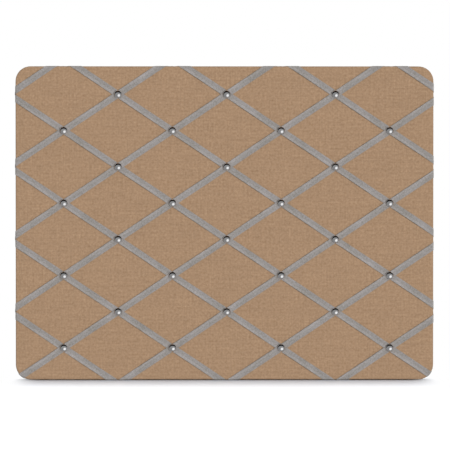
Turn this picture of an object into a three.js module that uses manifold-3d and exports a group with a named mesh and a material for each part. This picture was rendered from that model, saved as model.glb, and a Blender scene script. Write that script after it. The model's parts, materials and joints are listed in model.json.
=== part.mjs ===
// Fabric memo board: a fibreboard panel under thin wadding and stretched cloth, crossed by taut ribbons
// in a diamond lattice, with a domed nail at each crossing. The ribbons hold notes and photographs.
// Millimetres, +Z up. The front faces -Y, and the origin is the bottom centre of the whole object.
import * as THREE from "three";
import { mergeVertices } from "three/addons/utils/BufferGeometryUtils.js";
import Module from "manifold-3d";

// Panel, measured over the cloth
const BOARD_WIDTH = 609.6;
const BOARD_HEIGHT = 457.2;
const CORNER_RADIUS = 22;
const EDGE_ROUND = 1.5;
const CORE_THICKNESS = 12;
const WADDING_THICKNESS = 2;
const CLOTH_THICKNESS = 0.7;
const HEM_WIDTH = 35;
const HEM_CORNER_RADIUS = 6;

// Ribbon lattice: a diamond's share of the board's width and height. Each takes a 6 by 4 inch photograph.
const DIAMOND_WIDTH_RATIO = 0.26;
const DIAMOND_HEIGHT_RATIO = 0.231;
const LATTICE_SHIFT_RIGHT = 3.2;
const LATTICE_SHIFT_UP = 2.8;
const STUD_COLUMNS_EACH_SIDE = 3;
const STUD_ROWS_BELOW = 3;
const STUD_ROWS_ABOVE = 4;
const RIBBON_WIDTH = 9.5;
const RIBBON_THICKNESS = 0.4;
const RIBBON_TUCK = 18;

// Domed nail at each crossing
const STUD_DIAMETER = 11.1;
const STUD_HEIGHT = 3.2;
const STUD_RIM = 0.5;
const SHANK_DIAMETER = 1.6;
const SHANK_LENGTH = 11;
const SHANK_POINT = 2;

// Backing sheet over the raw hem and the ribbon ends
const BACKING_THICKNESS = 0.8;
const BACKING_INSET = 8;

// D-ring hangers: a strap folded round the ring's straight leg, held by one screw
const HANGER_FROM_SIDE = 60;
const HANGER_FROM_TOP = 114;
const STRAP_WIDTH = 10;
const STRAP_LENGTH = 22;
const STRAP_THICKNESS = 0.8;
const WIRE_DIAMETER = 2.2;
const WIRE_BUTT_GAP = 0.4;
const RING_INSIDE_WIDTH = 14;
const RING_BEND = 2.5;
const RING_SIDE = 2.5;
const SCREW_FROM_AXIS = 12.5;
const SCREW_HEAD_DIAMETER = 7;
const SCREW_HEAD_HEIGHT = 1.7;
const SCREW_DIAMETER = 3;
const SCREW_LENGTH = 11;
const SCREW_POINT = 3;

// Bumpers that hold the foot of the board off the wall
const BUMPER_DIAMETER = 12.7;
const BUMPER_FACE_DIAMETER = 9.5;
const BUMPER_HEIGHT = 5;
const BUMPER_FROM_SIDE = 45;
const BUMPER_FROM_BOTTOM = 40;

// Clearances
const LAY_GAP = 0.1;
const PIERCED_GAP = 0.3;
const PIVOT_GAP = 0.15;

// Facets
const CORNER_FACETS = 6;
const EDGE_FACETS = 2;
const SHANK_SIDES = 6;
const STUD_SIDES = 10;
const DOME_RINGS = 3;
const ROUND_SIDES = 12;
const RING_STEPS = 36;
const WIRE_SIDES = 6;
const LOOP_FACETS = 12;

const QUARTER_TURN = Math.PI / 2;

// Layers from the front to the wall. lift(0) and lift(1) are where the lower and the upper ribbon
// start above the cloth, and lift(2) is where whatever lies on both ribbons starts.
const lift = (layer) => LAY_GAP + layer * (RIBBON_THICKNESS + LAY_GAP);
const FILLING_THICKNESS = WADDING_THICKNESS + LAY_GAP + CORE_THICKNESS;
const PANEL_THICKNESS = FILLING_THICKNESS + 2 * (LAY_GAP + CLOTH_THICKNESS);
const WHOLE_DEPTH =
  STUD_HEIGHT + 2 * lift(2) + PANEL_THICKNESS + BACKING_THICKNESS + LAY_GAP + BUMPER_HEIGHT;
const STUD_SEAT_Y = STUD_HEIGHT - WHOLE_DEPTH / 2;
const FRONT_Y = STUD_SEAT_Y + lift(2);
const HEM_Y = FRONT_Y + PANEL_THICKNESS;
const BACKING_Y = HEM_Y + lift(2);
const BACKING_OUTER_Y = BACKING_Y + BACKING_THICKNESS;
const FILLING_Y = FRONT_Y + CLOTH_THICKNESS + LAY_GAP;
const CORE_Y = FILLING_Y + WADDING_THICKNESS + LAY_GAP;
const CENTRE_Z = BOARD_HEIGHT / 2 + lift(2) - LAY_GAP;

const STRAP_TOP = LAY_GAP + 2 * STRAP_THICKNESS;
const LOOP_INNER_RADIUS = WIRE_DIAMETER / 2 + PIVOT_GAP;
const LOOP_OUTER_RADIUS = LOOP_INNER_RADIUS + STRAP_THICKNESS;
const PIVOT_HEIGHT = LAY_GAP + LOOP_OUTER_RADIUS;

// Materials
const finish = (color, roughness, metalness = 0) =>
  new THREE.MeshStandardMaterial({ color, roughness, metalness });
const fibreboard = finish(0x9a7b58, 0.95);
const wadding = finish(0xe8e4da, 1);
const tanCloth = finish(0xa98b6f, 0.92);
const greyRibbon = finish(0x9c9591, 0.7);
const polishedSteel = finish(0xd8d8da, 0.12, 1);
const backingFelt = finish(0x2b2927, 0.95);
const zincPlate = finish(0xb9b7b0, 0.35, 1);
const bumperRubber = finish(0x3a3a3a, 0.8);

// Solids and booleans
const wasm = await Module();
wasm.setup();

function toSolid(geometry) {
  const bare = geometry.clone();
  bare.deleteAttribute("normal");
  bare.deleteAttribute("uv");
  const merged = mergeVertices(bare);
  const vertProperties = merged.attributes.position.array;
  const triVerts = new Uint32Array(merged.index.array);
  return new wasm.Manifold(new wasm.Mesh({ numProp: 3, vertProperties, triVerts }));
}

function toGeometry(solid) {
  const { vertProperties, triVerts } = solid.getMesh();
  const geometry = new THREE.BufferGeometry();
  geometry.setAttribute("position", new THREE.BufferAttribute(vertProperties, 3));
  geometry.setIndex(new THREE.BufferAttribute(triVerts, 1));
  geometry.computeVertexNormals();
  return geometry;
}

function cutAway(geometry, cutters) {
  const cut = cutters.reduce((solid, cutter) => solid.subtract(toSolid(cutter)), toSolid(geometry));
  return toGeometry(cut);
}

function named(name, geometry, material) {
  const mesh = new THREE.Mesh(geometry, material);
  mesh.name = name;
  return mesh;
}

// Basic shapes. A slab lies in the plane of the board, from y to y + thickness.
function roundedRectangle(width, height, radius) {
  const x = width / 2 - radius;
  const z = height / 2 - radius;
  const shape = new THREE.Shape();
  shape.absarc(x, z, radius, 0, QUARTER_TURN);
  shape.absarc(-x, z, radius, QUARTER_TURN, 2 * QUARTER_TURN);
  shape.absarc(-x, -z, radius, 2 * QUARTER_TURN, 3 * QUARTER_TURN);
  shape.absarc(x, -z, radius, 3 * QUARTER_TURN, 4 * QUARTER_TURN);
  shape.closePath();
  return shape;
}

function slab(inset, y, thickness, round = 0, cornerRadius = CORNER_RADIUS - inset) {
  const narrowing = 2 * (inset + round);
  const outline = roundedRectangle(
    BOARD_WIDTH - narrowing,
    BOARD_HEIGHT - narrowing,
    cornerRadius - round,
  );
  const geometry = new THREE.ExtrudeGeometry(outline, {
    depth: thickness - 2 * round,
    curveSegments: CORNER_FACETS / 2,
    bevelEnabled: round > 0,
    bevelSize: round,
    bevelThickness: round,
    bevelSegments: EDGE_FACETS,
  });
  geometry.rotateX(QUARTER_TURN);
  geometry.translate(0, y + thickness - round, CENTRE_Z);
  return geometry;
}

// A round or faceted piece turned about the Y axis, from [radius, y] pairs that run towards +Y.
function turned(profile, sides) {
  const points = profile.map(([radius, y]) => new THREE.Vector2(radius, y));
  return new THREE.LatheGeometry(points, sides);
}

function hole(x, z, diameter, sides, fromY, toY) {
  const flatToCorner = 1 / Math.cos(Math.PI / sides);
  const radius = (diameter / 2 + PIERCED_GAP) * flatToCorner;
  const geometry = new THREE.CylinderGeometry(radius, radius, toY - fromY, sides);
  geometry.translate(x, (fromY + toY) / 2, z);
  return geometry;
}

// Lattice: node (i, j) counts half diamonds from the one nearest the middle, and studs sit where i + j
// is even. A rising ribbon keeps j - i, and a falling one keeps j + i. The lowest line goes through the
// lowest stud at the side, and the highest passes above every stud, across a top corner.
const DIAMOND_WIDTH = DIAMOND_WIDTH_RATIO * BOARD_WIDTH;
const DIAMOND_HEIGHT = DIAMOND_HEIGHT_RATIO * BOARD_HEIGHT;
const LOWEST_LINE = -STUD_COLUMNS_EACH_SIDE - STUD_ROWS_BELOW;
const HIGHEST_LINE = STUD_COLUMNS_EACH_SIDE + STUD_ROWS_ABOVE + 1;
const latticeNode = (i, j) =>
  new THREE.Vector2(
    LATTICE_SHIFT_RIGHT + (i * DIAMOND_WIDTH) / 2,
    LATTICE_SHIFT_UP + ((j - 0.5) * DIAMOND_HEIGHT) / 2,
  );
const RISING = new THREE.Vector2(DIAMOND_WIDTH, DIAMOND_HEIGHT).normalize();
const FALLING = new THREE.Vector2(DIAMOND_WIDTH, -DIAMOND_HEIGHT).normalize();

function fitsOnFace(node) {
  const margin = STUD_DIAMETER / 2 + EDGE_ROUND;
  const x = Math.abs(node.x) + margin - (BOARD_WIDTH / 2 - CORNER_RADIUS);
  const z = Math.abs(node.y) + margin - (BOARD_HEIGHT / 2 - CORNER_RADIUS);
  return Math.max(x, z) < 0 || Math.hypot(Math.max(x, 0), Math.max(z, 0)) < CORNER_RADIUS;
}

const studNodes = [];
for (let j = STUD_ROWS_ABOVE; j >= -STUD_ROWS_BELOW; j--) {
  for (let i = -STUD_COLUMNS_EACH_SIDE; i <= STUD_COLUMNS_EACH_SIDE; i++) {
    const place = latticeNode(i, j);
    if ((i + j) % 2 === 0 && fitsOnFace(place)) studNodes.push({ i, j, place });
  }
}

// Each stud's shank goes through both ribbons, the cloth and the wadding, and into the core.
const SHANK_END_Y = STUD_SEAT_Y + SHANK_LENGTH;
const shankHoles = (nodes, fromY, toY) =>
  nodes.map(({ place }) =>
    hole(place.x, CENTRE_Z + place.y, SHANK_DIAMETER, SHANK_SIDES, fromY, toY),
  );

// Rim: the line on the face where it starts to round over the edge. Distances along it run anticlockwise,
// seen from the front, from the middle of the right-hand side.
const RIM_X = BOARD_WIDTH / 2 - EDGE_ROUND;
const RIM_Z = BOARD_HEIGHT / 2 - EDGE_ROUND;
const RIM_RADIUS = CORNER_RADIUS - EDGE_ROUND;
const RIM_ARC = RIM_RADIUS * QUARTER_TURN;
const rimSides = [0, 1, 2, 3].map((turn) => {
  const outward = new THREE.Vector2(Math.cos(turn * QUARTER_TURN), Math.sin(turn * QUARTER_TURN));
  const upright = turn % 2 === 0;
  return {
    turn,
    outward,
    along: new THREE.Vector2(-outward.y, outward.x),
    reach: upright ? RIM_X : RIM_Z,
    halfLength: (upright ? RIM_Z : RIM_X) - RIM_RADIUS,
  };
});
let rimLength = -rimSides[0].halfLength;
for (const side of rimSides) {
  side.start = rimLength;
  rimLength += 2 * side.halfLength + RIM_ARC;
  side.corner = side.outward
    .clone()
    .multiplyScalar(side.reach - RIM_RADIUS)
    .addScaledVector(side.along, side.halfLength);
}
const RIM_LENGTH = rimLength - rimSides[0].start;

function rimAt(distance) {
  const first = rimSides[0].start;
  const wrapped = first + ((((distance - first) % RIM_LENGTH) + RIM_LENGTH) % RIM_LENGTH);
  const side = rimSides.findLast(({ start }) => start <= wrapped);
  const past = wrapped - side.start - 2 * side.halfLength;
  if (past <= 0) {
    const point = side.outward.clone().multiplyScalar(side.reach);
    point.addScaledVector(side.along, past + side.halfLength);
    return { point, outward: side.outward, along: side.along };
  }
  const angle = side.turn * QUARTER_TURN + past / RIM_RADIUS;
  const outward = new THREE.Vector2(Math.cos(angle), Math.sin(angle));
  const along = new THREE.Vector2(-outward.y, outward.x);
  return { point: side.corner.clone().addScaledVector(outward, RIM_RADIUS), outward, along };
}

// Distance along the rim where a line leaves the face. A line that misses the face gives null.
function rimExit(from, direction) {
  for (const side of rimSides) {
    const facing = direction.dot(side.outward);
    if (facing > 0) {
      const run = (side.reach - from.dot(side.outward)) / facing;
      const along = from.clone().addScaledVector(direction, run).dot(side.along);
      if (Math.abs(along) <= side.halfLength) return side.start + side.halfLength + along;
    }
    const toCorner = side.corner.clone().sub(from);
    const nearest = toCorner.dot(direction);
    const chord = RIM_RADIUS ** 2 - toCorner.lengthSq() + nearest ** 2;
    if (chord < 0) continue;
    const leaves = direction.clone().multiplyScalar(nearest + Math.sqrt(chord)).sub(toCorner);
    const across = leaves.dot(side.outward);
    const along = leaves.dot(side.along);
    if (across >= 0 && along >= 0) {
      return side.start + 2 * side.halfLength + RIM_RADIUS * Math.atan2(along, across);
    }
  }
  return null;
}

// The way round the board's edge from the rim to the hem: run is the length walked, out and back are how
// far that is outside the rim and behind the face, and the slopes give the way that the surface faces.
function edgeSteps() {
  const wall = PANEL_THICKNESS - 2 * EDGE_ROUND;
  const angles = Array.from({ length: EDGE_FACETS + 1 }, (_, k) => (k / EDGE_FACETS) * QUARTER_TURN);
  const frontRound = angles.map((angle) => ({
    run: EDGE_ROUND * angle,
    out: EDGE_ROUND * Math.sin(angle),
    back: EDGE_ROUND * (1 - Math.cos(angle)),
    facesOut: Math.sin(angle),
    facesBack: -Math.cos(angle),
  }));
  const backRound = angles.map((angle) => ({
    run: EDGE_ROUND * (QUARTER_TURN + angle) + wall,
    out: EDGE_ROUND * Math.cos(angle),
    back: EDGE_ROUND * (1 + Math.sin(angle)) + wall,
    facesOut: Math.cos(angle),
    facesBack: Math.sin(angle),
  }));
  return [...frontRound, ...backRound];
}

// One end of a ribbon, as rows of points across its width: over the edge along the shortest way, which
// keeps its angle to the edge, and then straight in over the hem.
function ribbonEnd(columns, direction, lifts) {
  const exits = columns.map((from) => rimExit(from, direction));
  const middleExit = rimExit(columns[0].clone().lerp(columns.at(-1), 0.5), direction);
  const leaving = rimAt(middleExit);
  const drift = direction.dot(leaving.along) / direction.dot(leaving.outward);
  const steps = edgeSteps();
  const rows = steps.map(({ run, out, back, facesOut, facesBack }) =>
    exits.map((exit) => {
      const { point, outward } = rimAt(exit + drift * run);
      return lifts.map((height) => {
        const place = point.clone().addScaledVector(outward, out + facesOut * height);
        const y = FRONT_Y + back + facesBack * height;
        return new THREE.Vector3(place.x, y, CENTRE_Z + place.y);
      });
    }),
  );
  const turnedIn = rimAt(middleExit + drift * steps.at(-1).run);
  const tuck = turnedIn.along.clone().multiplyScalar(drift).sub(turnedIn.outward);
  const tail = rows.at(-1).map((pair) =>
    pair.map((place) =>
      place.clone().add(new THREE.Vector3(tuck.x, 0, tuck.y).multiplyScalar(RIBBON_TUCK)),
    ),
  );
  return [...rows, tail];
}

// A closed strip from rows of [inner, outer] pairs across its width.
function strip(rows) {
  const width = rows[0].length;
  const last = rows.length - 1;
  const at = (row, column, side) => 2 * (row * width + column) + side;
  const index = [];
  const quad = (a, b, c, d) => index.push(a, b, c, a, c, d);
  for (let r = 0; r < last; r++) {
    for (let c = 0; c < width - 1; c++) {
      quad(at(r, c, 1), at(r + 1, c, 1), at(r + 1, c + 1, 1), at(r, c + 1, 1));
      quad(at(r, c, 0), at(r, c + 1, 0), at(r + 1, c + 1, 0), at(r + 1, c, 0));
    }
    quad(at(r, 0, 0), at(r + 1, 0, 0), at(r + 1, 0, 1), at(r, 0, 1));
    quad(at(r, width - 1, 0), at(r, width - 1, 1), at(r + 1, width - 1, 1), at(r + 1, width - 1, 0));
  }
  for (let c = 0; c < width - 1; c++) {
    quad(at(0, c, 0), at(0, c, 1), at(0, c + 1, 1), at(0, c + 1, 0));
    quad(at(last, c, 0), at(last, c + 1, 0), at(last, c + 1, 1), at(last, c, 1));
  }
  const geometry = new THREE.BufferGeometry().setFromPoints(rows.flat(2));
  geometry.setIndex(index);
  return geometry;
}

// Columns across a ribbon: only its two edges, unless an end wraps a rounded corner. There the facets
// stay finer than the gap under the ribbon.
function ribbonColumns(node, direction) {
  const sideways = new THREE.Vector2(-direction.y, direction.x);
  const edges = [-0.5, 0.5].map((share) => node.clone().addScaledVector(sideways, share * RIBBON_WIDTH));
  const ways = [direction, direction.clone().negate()];
  const turns = ways.some((way) => {
    const [first, second] = edges.map((edge) => rimAt(rimExit(edge, way)).outward);
    return first !== second;
  });
  const facet = Math.sqrt(4 * RIM_RADIUS * LAY_GAP);
  const count = turns ? Math.ceil(RIBBON_WIDTH / facet) : 1;
  return Array.from({ length: count + 1 }, (_, k) => edges[0].clone().lerp(edges[1], k / count));
}

function ribbon(node, direction, layer) {
  const columns = ribbonColumns(node, direction);
  const lifts = [lift(layer), lift(layer) + RIBBON_THICKNESS];
  const head = ribbonEnd(columns, direction, lifts);
  const tail = ribbonEnd(columns, direction.clone().negate(), lifts);
  return strip([...tail.reverse(), ...head]);
}

// Panel: core, wadding and the cloth that wraps them, turned in to a hem at the back
function panelPieces() {
  const cavityInset = CLOTH_THICKNESS;
  const fillingInset = CLOTH_THICKNESS + LAY_GAP;
  const whole = slab(0, FRONT_Y, PANEL_THICKNESS, EDGE_ROUND);
  const cavity = slab(
    cavityInset,
    FRONT_Y + CLOTH_THICKNESS,
    PANEL_THICKNESS - 2 * CLOTH_THICKNESS,
    EDGE_ROUND - cavityInset,
  );
  const window = slab(HEM_WIDTH, HEM_Y - EDGE_ROUND, 2 * EDGE_ROUND, 0, HEM_CORNER_RADIUS);
  const clothHoles = shankHoles(studNodes, FRONT_Y - LAY_GAP, FILLING_Y);
  const cloth = cutAway(whole, [cavity, window, ...clothHoles]);

  const filling = toSolid(slab(fillingInset, FILLING_Y, FILLING_THICKNESS, EDGE_ROUND - fillingInset));
  const part = (y, thickness) => {
    const box = new THREE.BoxGeometry(BOARD_WIDTH, thickness, BOARD_HEIGHT);
    box.translate(0, y + thickness / 2, CENTRE_Z);
    return toGeometry(filling.intersect(toSolid(box)));
  };
  const waddingSheet = cutAway(
    part(FILLING_Y, WADDING_THICKNESS),
    shankHoles(studNodes, FILLING_Y - LAY_GAP, CORE_Y),
  );
  const core = cutAway(part(CORE_Y, CORE_THICKNESS), [
    ...shankHoles(studNodes, CORE_Y - LAY_GAP, SHANK_END_Y + PIERCED_GAP),
    ...screwHoles(BACKING_OUTER_Y + STRAP_TOP - SCREW_LENGTH - PIERCED_GAP, HEM_Y),
  ]);
  return [
    named("core_board", core, fibreboard),
    named("wadding_sheet", waddingSheet, wadding),
    named("cloth_cover", cloth, tanCloth),
  ];
}

function ribbonPieces() {
  const families = [
    { name: "falling_ribbon", direction: FALLING, layer: 0, lineOf: (i, j) => j + i },
    { name: "rising_ribbon", direction: RISING, layer: 1, lineOf: (i, j) => j - i },
  ];
  const pieces = [];
  for (const { name, direction, layer, lineOf } of families) {
    let count = 0;
    for (let line = LOWEST_LINE; line <= HIGHEST_LINE; line += 2) {
      const geometry = ribbon(latticeNode(0, line), direction, layer);
      count += 1;
      const pierced = studNodes.filter(({ i, j }) => lineOf(i, j) === line);
      const holes = shankHoles(pierced, STUD_SEAT_Y, FRONT_Y);
      pieces.push(named(`${name}_${count}`, cutAway(geometry, holes), greyRibbon));
    }
  }
  return pieces;
}

// Domed nail: its seat is at y 0, with the dome towards -Y and the shank towards +Y
function studGeometry() {
  const radius = STUD_DIAMETER / 2;
  const crown = STUD_HEIGHT - STUD_RIM;
  const sphere = (radius ** 2 + crown ** 2) / (2 * crown);
  const widest = Math.asin(radius / sphere);
  const dome = Array.from({ length: DOME_RINGS + 1 }, (_, k) => {
    const angle = (k / DOME_RINGS) * widest;
    return [sphere * Math.sin(angle), sphere * (1 - Math.cos(angle)) - STUD_HEIGHT];
  });
  const shank = SHANK_DIAMETER / 2;
  return turned(
    [...dome, [radius, 0], [shank, 0], [shank, SHANK_LENGTH - SHANK_POINT], [0, SHANK_LENGTH]],
    STUD_SIDES,
  );
}

function studPieces() {
  return studNodes.map(({ place }, k) => {
    const stud = named(`stud_${k + 1}`, studGeometry(), polishedSteel);
    stud.position.set(place.x, STUD_SEAT_Y, CENTRE_Z + place.y);
    return stud;
  });
}

function backingSheet() {
  const sheet = slab(BACKING_INSET, BACKING_Y, BACKING_THICKNESS);
  const holes = screwHoles(BACKING_Y - LAY_GAP, BACKING_OUTER_Y + LAY_GAP);
  return named("backing_sheet", cutAway(sheet, holes), backingFelt);
}

// Hanger, in its own frame: the ring's pivot runs along Z through the origin's x and z, y 0 is the outer
// face of the backing sheet, and the ring points along +X.
const HANGER_X = BOARD_WIDTH / 2 - HANGER_FROM_SIDE;
const HANGER_Z = CENTRE_Z + BOARD_HEIGHT / 2 - HANGER_FROM_TOP;
const hangerSides = [
  { side: "left", x: -HANGER_X, turn: 0 },
  { side: "right", x: HANGER_X, turn: Math.PI },
];

function screwHoles(fromY, toY) {
  return hangerSides.map(({ x, turn }) =>
    hole(x - SCREW_FROM_AXIS * Math.cos(turn), HANGER_Z, SCREW_DIAMETER, ROUND_SIDES, fromY, toY),
  );
}

// One strip of metal bent round the wire, with its two ends pressed flat against each other
function strapGeometry() {
  const flattens = Math.PI + Math.asin((PIVOT_HEIGHT - STRAP_TOP) / LOOP_OUTER_RADIUS);
  const shape = new THREE.Shape();
  shape.moveTo(-STRAP_LENGTH, STRAP_TOP);
  shape.lineTo(-STRAP_LENGTH, LAY_GAP);
  shape.absarc(0, PIVOT_HEIGHT, LOOP_OUTER_RADIUS, -QUARTER_TURN, flattens);
  shape.closePath();
  const eye = new THREE.Path().absarc(0, PIVOT_HEIGHT, LOOP_INNER_RADIUS, 0, 4 * QUARTER_TURN);
  shape.holes.push(eye);
  const folded = new THREE.ExtrudeGeometry(shape, {
    depth: STRAP_WIDTH,
    curveSegments: LOOP_FACETS / 2,
    bevelEnabled: false,
  });
  folded.translate(0, 0, -STRAP_WIDTH / 2);
  const screwHole = hole(-SCREW_FROM_AXIS, 0, SCREW_DIAMETER, ROUND_SIDES, 0, STRAP_TOP + LAY_GAP);
  return cutAway(folded, [screwHole]);
}

// The bent wire's centre line, from one side of its butt joint in the straight leg to the other
class RingPath extends THREE.Curve {
  getPoint(share) {
    const halfWidth = (RING_INSIDE_WIDTH + WIRE_DIAMETER) / 2;
    const leg = halfWidth - RING_BEND - WIRE_BUTT_GAP / 2;
    const bend = RING_BEND * QUARTER_TURN;
    const bow = halfWidth * QUARTER_TURN;
    const half = leg + bend + RING_SIDE + bow;
    const mirrored = share > 0.5 ? -1 : 1;
    let left = 2 * half * Math.min(share, 1 - share);
    const place = (x, z) => new THREE.Vector3(x, PIVOT_HEIGHT, mirrored * z);
    if (left <= leg) return place(0, WIRE_BUTT_GAP / 2 + left);
    left -= leg;
    if (left <= bend) {
      const angle = left / RING_BEND;
      return place(
        RING_BEND * (1 - Math.cos(angle)),
        halfWidth - RING_BEND * (1 - Math.sin(angle)),
      );
    }
    left -= bend;
    if (left <= RING_SIDE) return place(RING_BEND + left, halfWidth);
    const angle = (left - RING_SIDE) / halfWidth;
    return place(RING_BEND + RING_SIDE + halfWidth * Math.sin(angle), halfWidth * Math.cos(angle));
  }
}

function ringGeometry() {
  const radius = WIRE_DIAMETER / 2;
  const section = Array.from({ length: WIRE_SIDES }, (_, k) => {
    const angle = (2 * Math.PI * k) / WIRE_SIDES;
    return new THREE.Vector2(radius * Math.cos(angle), radius * Math.sin(angle));
  });
  return new THREE.ExtrudeGeometry(new THREE.Shape(section), {
    extrudePath: new RingPath(),
    steps: RING_STEPS,
  });
}

// Pan-head screw: its seat is at y 0, with the head towards +Y and the point towards -Y
function screwGeometry() {
  const head = SCREW_HEAD_DIAMETER / 2;
  const shank = SCREW_DIAMETER / 2;
  return turned(
    [
      [0, -SCREW_LENGTH],
      [shank, SCREW_POINT - SCREW_LENGTH],
      [shank, 0],
      [head, 0],
      [head, SCREW_HEAD_HEIGHT / 2],
      [head * Math.SQRT1_2, SCREW_HEAD_HEIGHT],
      [0, SCREW_HEAD_HEIGHT],
    ],
    ROUND_SIDES,
  );
}

function hanger({ side, x, turn }) {
  const screw = named(`${side}_hanger_screw`, screwGeometry(), zincPlate);
  screw.position.set(-SCREW_FROM_AXIS, STRAP_TOP + LAY_GAP, 0);
  const group = new THREE.Group();
  group.add(
    named(`${side}_hanger_strap`, strapGeometry(), zincPlate),
    named(`${side}_hanger_ring`, ringGeometry(), zincPlate),
    screw,
  );
  group.position.set(x, BACKING_OUTER_Y, HANGER_Z);
  group.rotation.y = turn;
  return group;
}

function bumper(side, x) {
  const base = BUMPER_DIAMETER / 2;
  const face = BUMPER_FACE_DIAMETER / 2;
  const geometry = turned([[0, 0], [base, 0], [face, BUMPER_HEIGHT], [0, BUMPER_HEIGHT]], ROUND_SIDES);
  const piece = named(`${side}_bumper`, geometry, bumperRubber);
  piece.position.set(x, BACKING_OUTER_Y + LAY_GAP, CENTRE_Z - BOARD_HEIGHT / 2 + BUMPER_FROM_BOTTOM);
  return piece;
}

const memoBoard = new THREE.Group();
memoBoard.add(
  ...panelPieces(),
  ...ribbonPieces(),
  ...studPieces(),
  backingSheet(),
  ...hangerSides.map(hanger),
  bumper("left", BUMPER_FROM_SIDE - BOARD_WIDTH / 2),
  bumper("right", BOARD_WIDTH / 2 - BUMPER_FROM_SIDE),
);

export default memoBoard;
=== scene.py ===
"""Fabric memo board: tan cloth stretched over wadding, a diamond lattice of ribbed grey ribbon and a
bright domed nail at each crossing. A black backing sheet, two ring hangers and two bumpers are behind."""

import json
import math
from collections import namedtuple

import bmesh
import bpy
import numpy as np
from bpy.props import FloatProperty, FloatVectorProperty, IntProperty, PointerProperty
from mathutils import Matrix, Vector


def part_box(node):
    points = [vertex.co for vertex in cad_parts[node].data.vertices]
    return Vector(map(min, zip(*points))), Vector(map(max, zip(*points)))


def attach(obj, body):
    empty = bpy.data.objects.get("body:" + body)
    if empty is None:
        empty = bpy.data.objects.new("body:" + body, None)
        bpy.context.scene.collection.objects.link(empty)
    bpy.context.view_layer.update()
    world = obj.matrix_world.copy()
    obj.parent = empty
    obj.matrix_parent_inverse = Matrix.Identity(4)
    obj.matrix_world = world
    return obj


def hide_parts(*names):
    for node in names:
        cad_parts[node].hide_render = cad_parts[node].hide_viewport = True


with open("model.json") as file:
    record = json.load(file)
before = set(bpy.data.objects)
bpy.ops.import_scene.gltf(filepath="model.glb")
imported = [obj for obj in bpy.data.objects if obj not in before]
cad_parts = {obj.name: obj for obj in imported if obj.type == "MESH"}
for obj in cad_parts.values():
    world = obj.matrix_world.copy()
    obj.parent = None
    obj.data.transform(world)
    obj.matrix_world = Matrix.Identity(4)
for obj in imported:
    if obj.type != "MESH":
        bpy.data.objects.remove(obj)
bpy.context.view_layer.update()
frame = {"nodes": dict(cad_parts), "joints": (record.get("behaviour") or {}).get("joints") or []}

bl_info = {
    "name": "Ribbon memo board",
    "version": (1, 0, 0),
    "blender": (4, 5, 0),
    "location": "3D View > Sidebar > Memo board",
    "description": "Dresses the memo board in cloth, ribbons, studs and wall fittings",
    "category": "Add Mesh",
}

# Places that come from the frame, in metres. The front of the board faces -Y.
CLOTH_LOW, CLOTH_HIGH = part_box("cloth_cover")
FRONT_Y, HEM_Y = CLOTH_LOW.y, CLOTH_HIGH.y
HALF_WIDTH = (CLOTH_HIGH.x - CLOTH_LOW.x) / 2
HALF_HEIGHT = (CLOTH_HIGH.z - CLOTH_LOW.z) / 2
CENTRE_Z = (CLOTH_HIGH.z + CLOTH_LOW.z) / 2
BACKING_LOW, BACKING_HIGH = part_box("backing_sheet")
STUD_COUNT = 28
STUD_NODES = [f"stud_{k + 1}" for k in range(STUD_COUNT)]
STUD_TOP_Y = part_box(STUD_NODES[0])[0].y
STUD_PLACES = np.array([sum(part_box(n), Vector()) / 2 for n in STUD_NODES])
PIVOTS = {j["child"]: Vector(j["pos_m"]) for j in frame["joints"]}
SIDES = (("left", 1.0), ("right", -1.0))

# Lattice of half diamonds, read from the studs and counted from the stud nearest the middle
COLUMNS = np.unique(STUD_PLACES[:, 0].round(5))
ROWS = np.unique(STUD_PLACES[:, 2].round(5)) - CENTRE_Z
LATTICE_X = (COLUMNS[-1] - COLUMNS[0]) / (len(COLUMNS) - 1)
LATTICE_Z = (ROWS[-1] - ROWS[0]) / (len(ROWS) - 1)
MIDDLE_COLUMN, MIDDLE_ROW = 3, 3
MIDDLE_X = COLUMNS[MIDDLE_COLUMN]
MIDDLE_Z = ROWS[MIDDLE_ROW]
LINE_SPACING = LATTICE_X * LATTICE_Z / math.hypot(LATTICE_X, LATTICE_Z)
LOWEST_LINE, HIGHEST_LINE = -6, 8
RIBBONS_EACH_WAY = 8

LAY_GAP = 0.0001  # between a ribbon and what it lies on
PHOTO_SIDE = 450  # pixels
QUARTER_TURN = math.pi / 2


def length(name, description, default):
    return FloatProperty(
        name=name, description=description, default=default, min=0.0, unit="LENGTH", subtype="DISTANCE"
    )


def colour(name, description, default):
    return FloatVectorProperty(
        name=name, description=description, default=default, min=0.0, max=1.0, size=3, subtype="COLOR"
    )


def number(name, description, default):
    return FloatProperty(name=name, description=description, default=default, min=0.0)


def degrees(name, description, default):
    return FloatProperty(name=name, description=description, default=math.radians(default), subtype="ANGLE")


class MemoClothSettings(bpy.types.PropertyGroup):
    """The cloth cover and the wadding under it"""

    corner_radius: length("Corner radius", "Radius of the board's corners, seen from the front", 0.022)
    edge_round: length("Edge rounding", "Radius of the cloth round the board's edge", 0.0015)
    thickness: length("Cloth thickness", "Thickness of the woven cloth", 0.0007)
    hem_width: length("Hem width", "How far the cloth is turned in at the back", 0.035)
    hem_corner: length("Hem corner", "Corner radius of the hem's inner edge", 0.006)
    puff: length("Puff", "How far the wadding lifts the cloth between ribbons", 0.00016)
    pleat: length("Pleat", "Height of the gathers at the hem's corners", 0.00035)
    step: length("Mesh step", "Size of the cloth's mesh", 0.0036)
    thread_pitch: length("Thread pitch", "Distance between threads", 0.0009)
    slub_length: length("Slub length", "Length over which a thread keeps its shade", 0.016)
    tint: colour("Cloth colour", "Mean colour of the cloth", (0.395, 0.256, 0.157))
    fleck: colour("Fleck colour", "Colour of the flecks in the cloth", (0.395, 0.307, 0.231))
    wadding_tint: colour("Wadding colour", "Colour of the wadding", (0.8, 0.77, 0.7))
    core_tint: colour("Core colour", "Colour of the raw fibreboard", (0.32, 0.2, 0.1))


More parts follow.
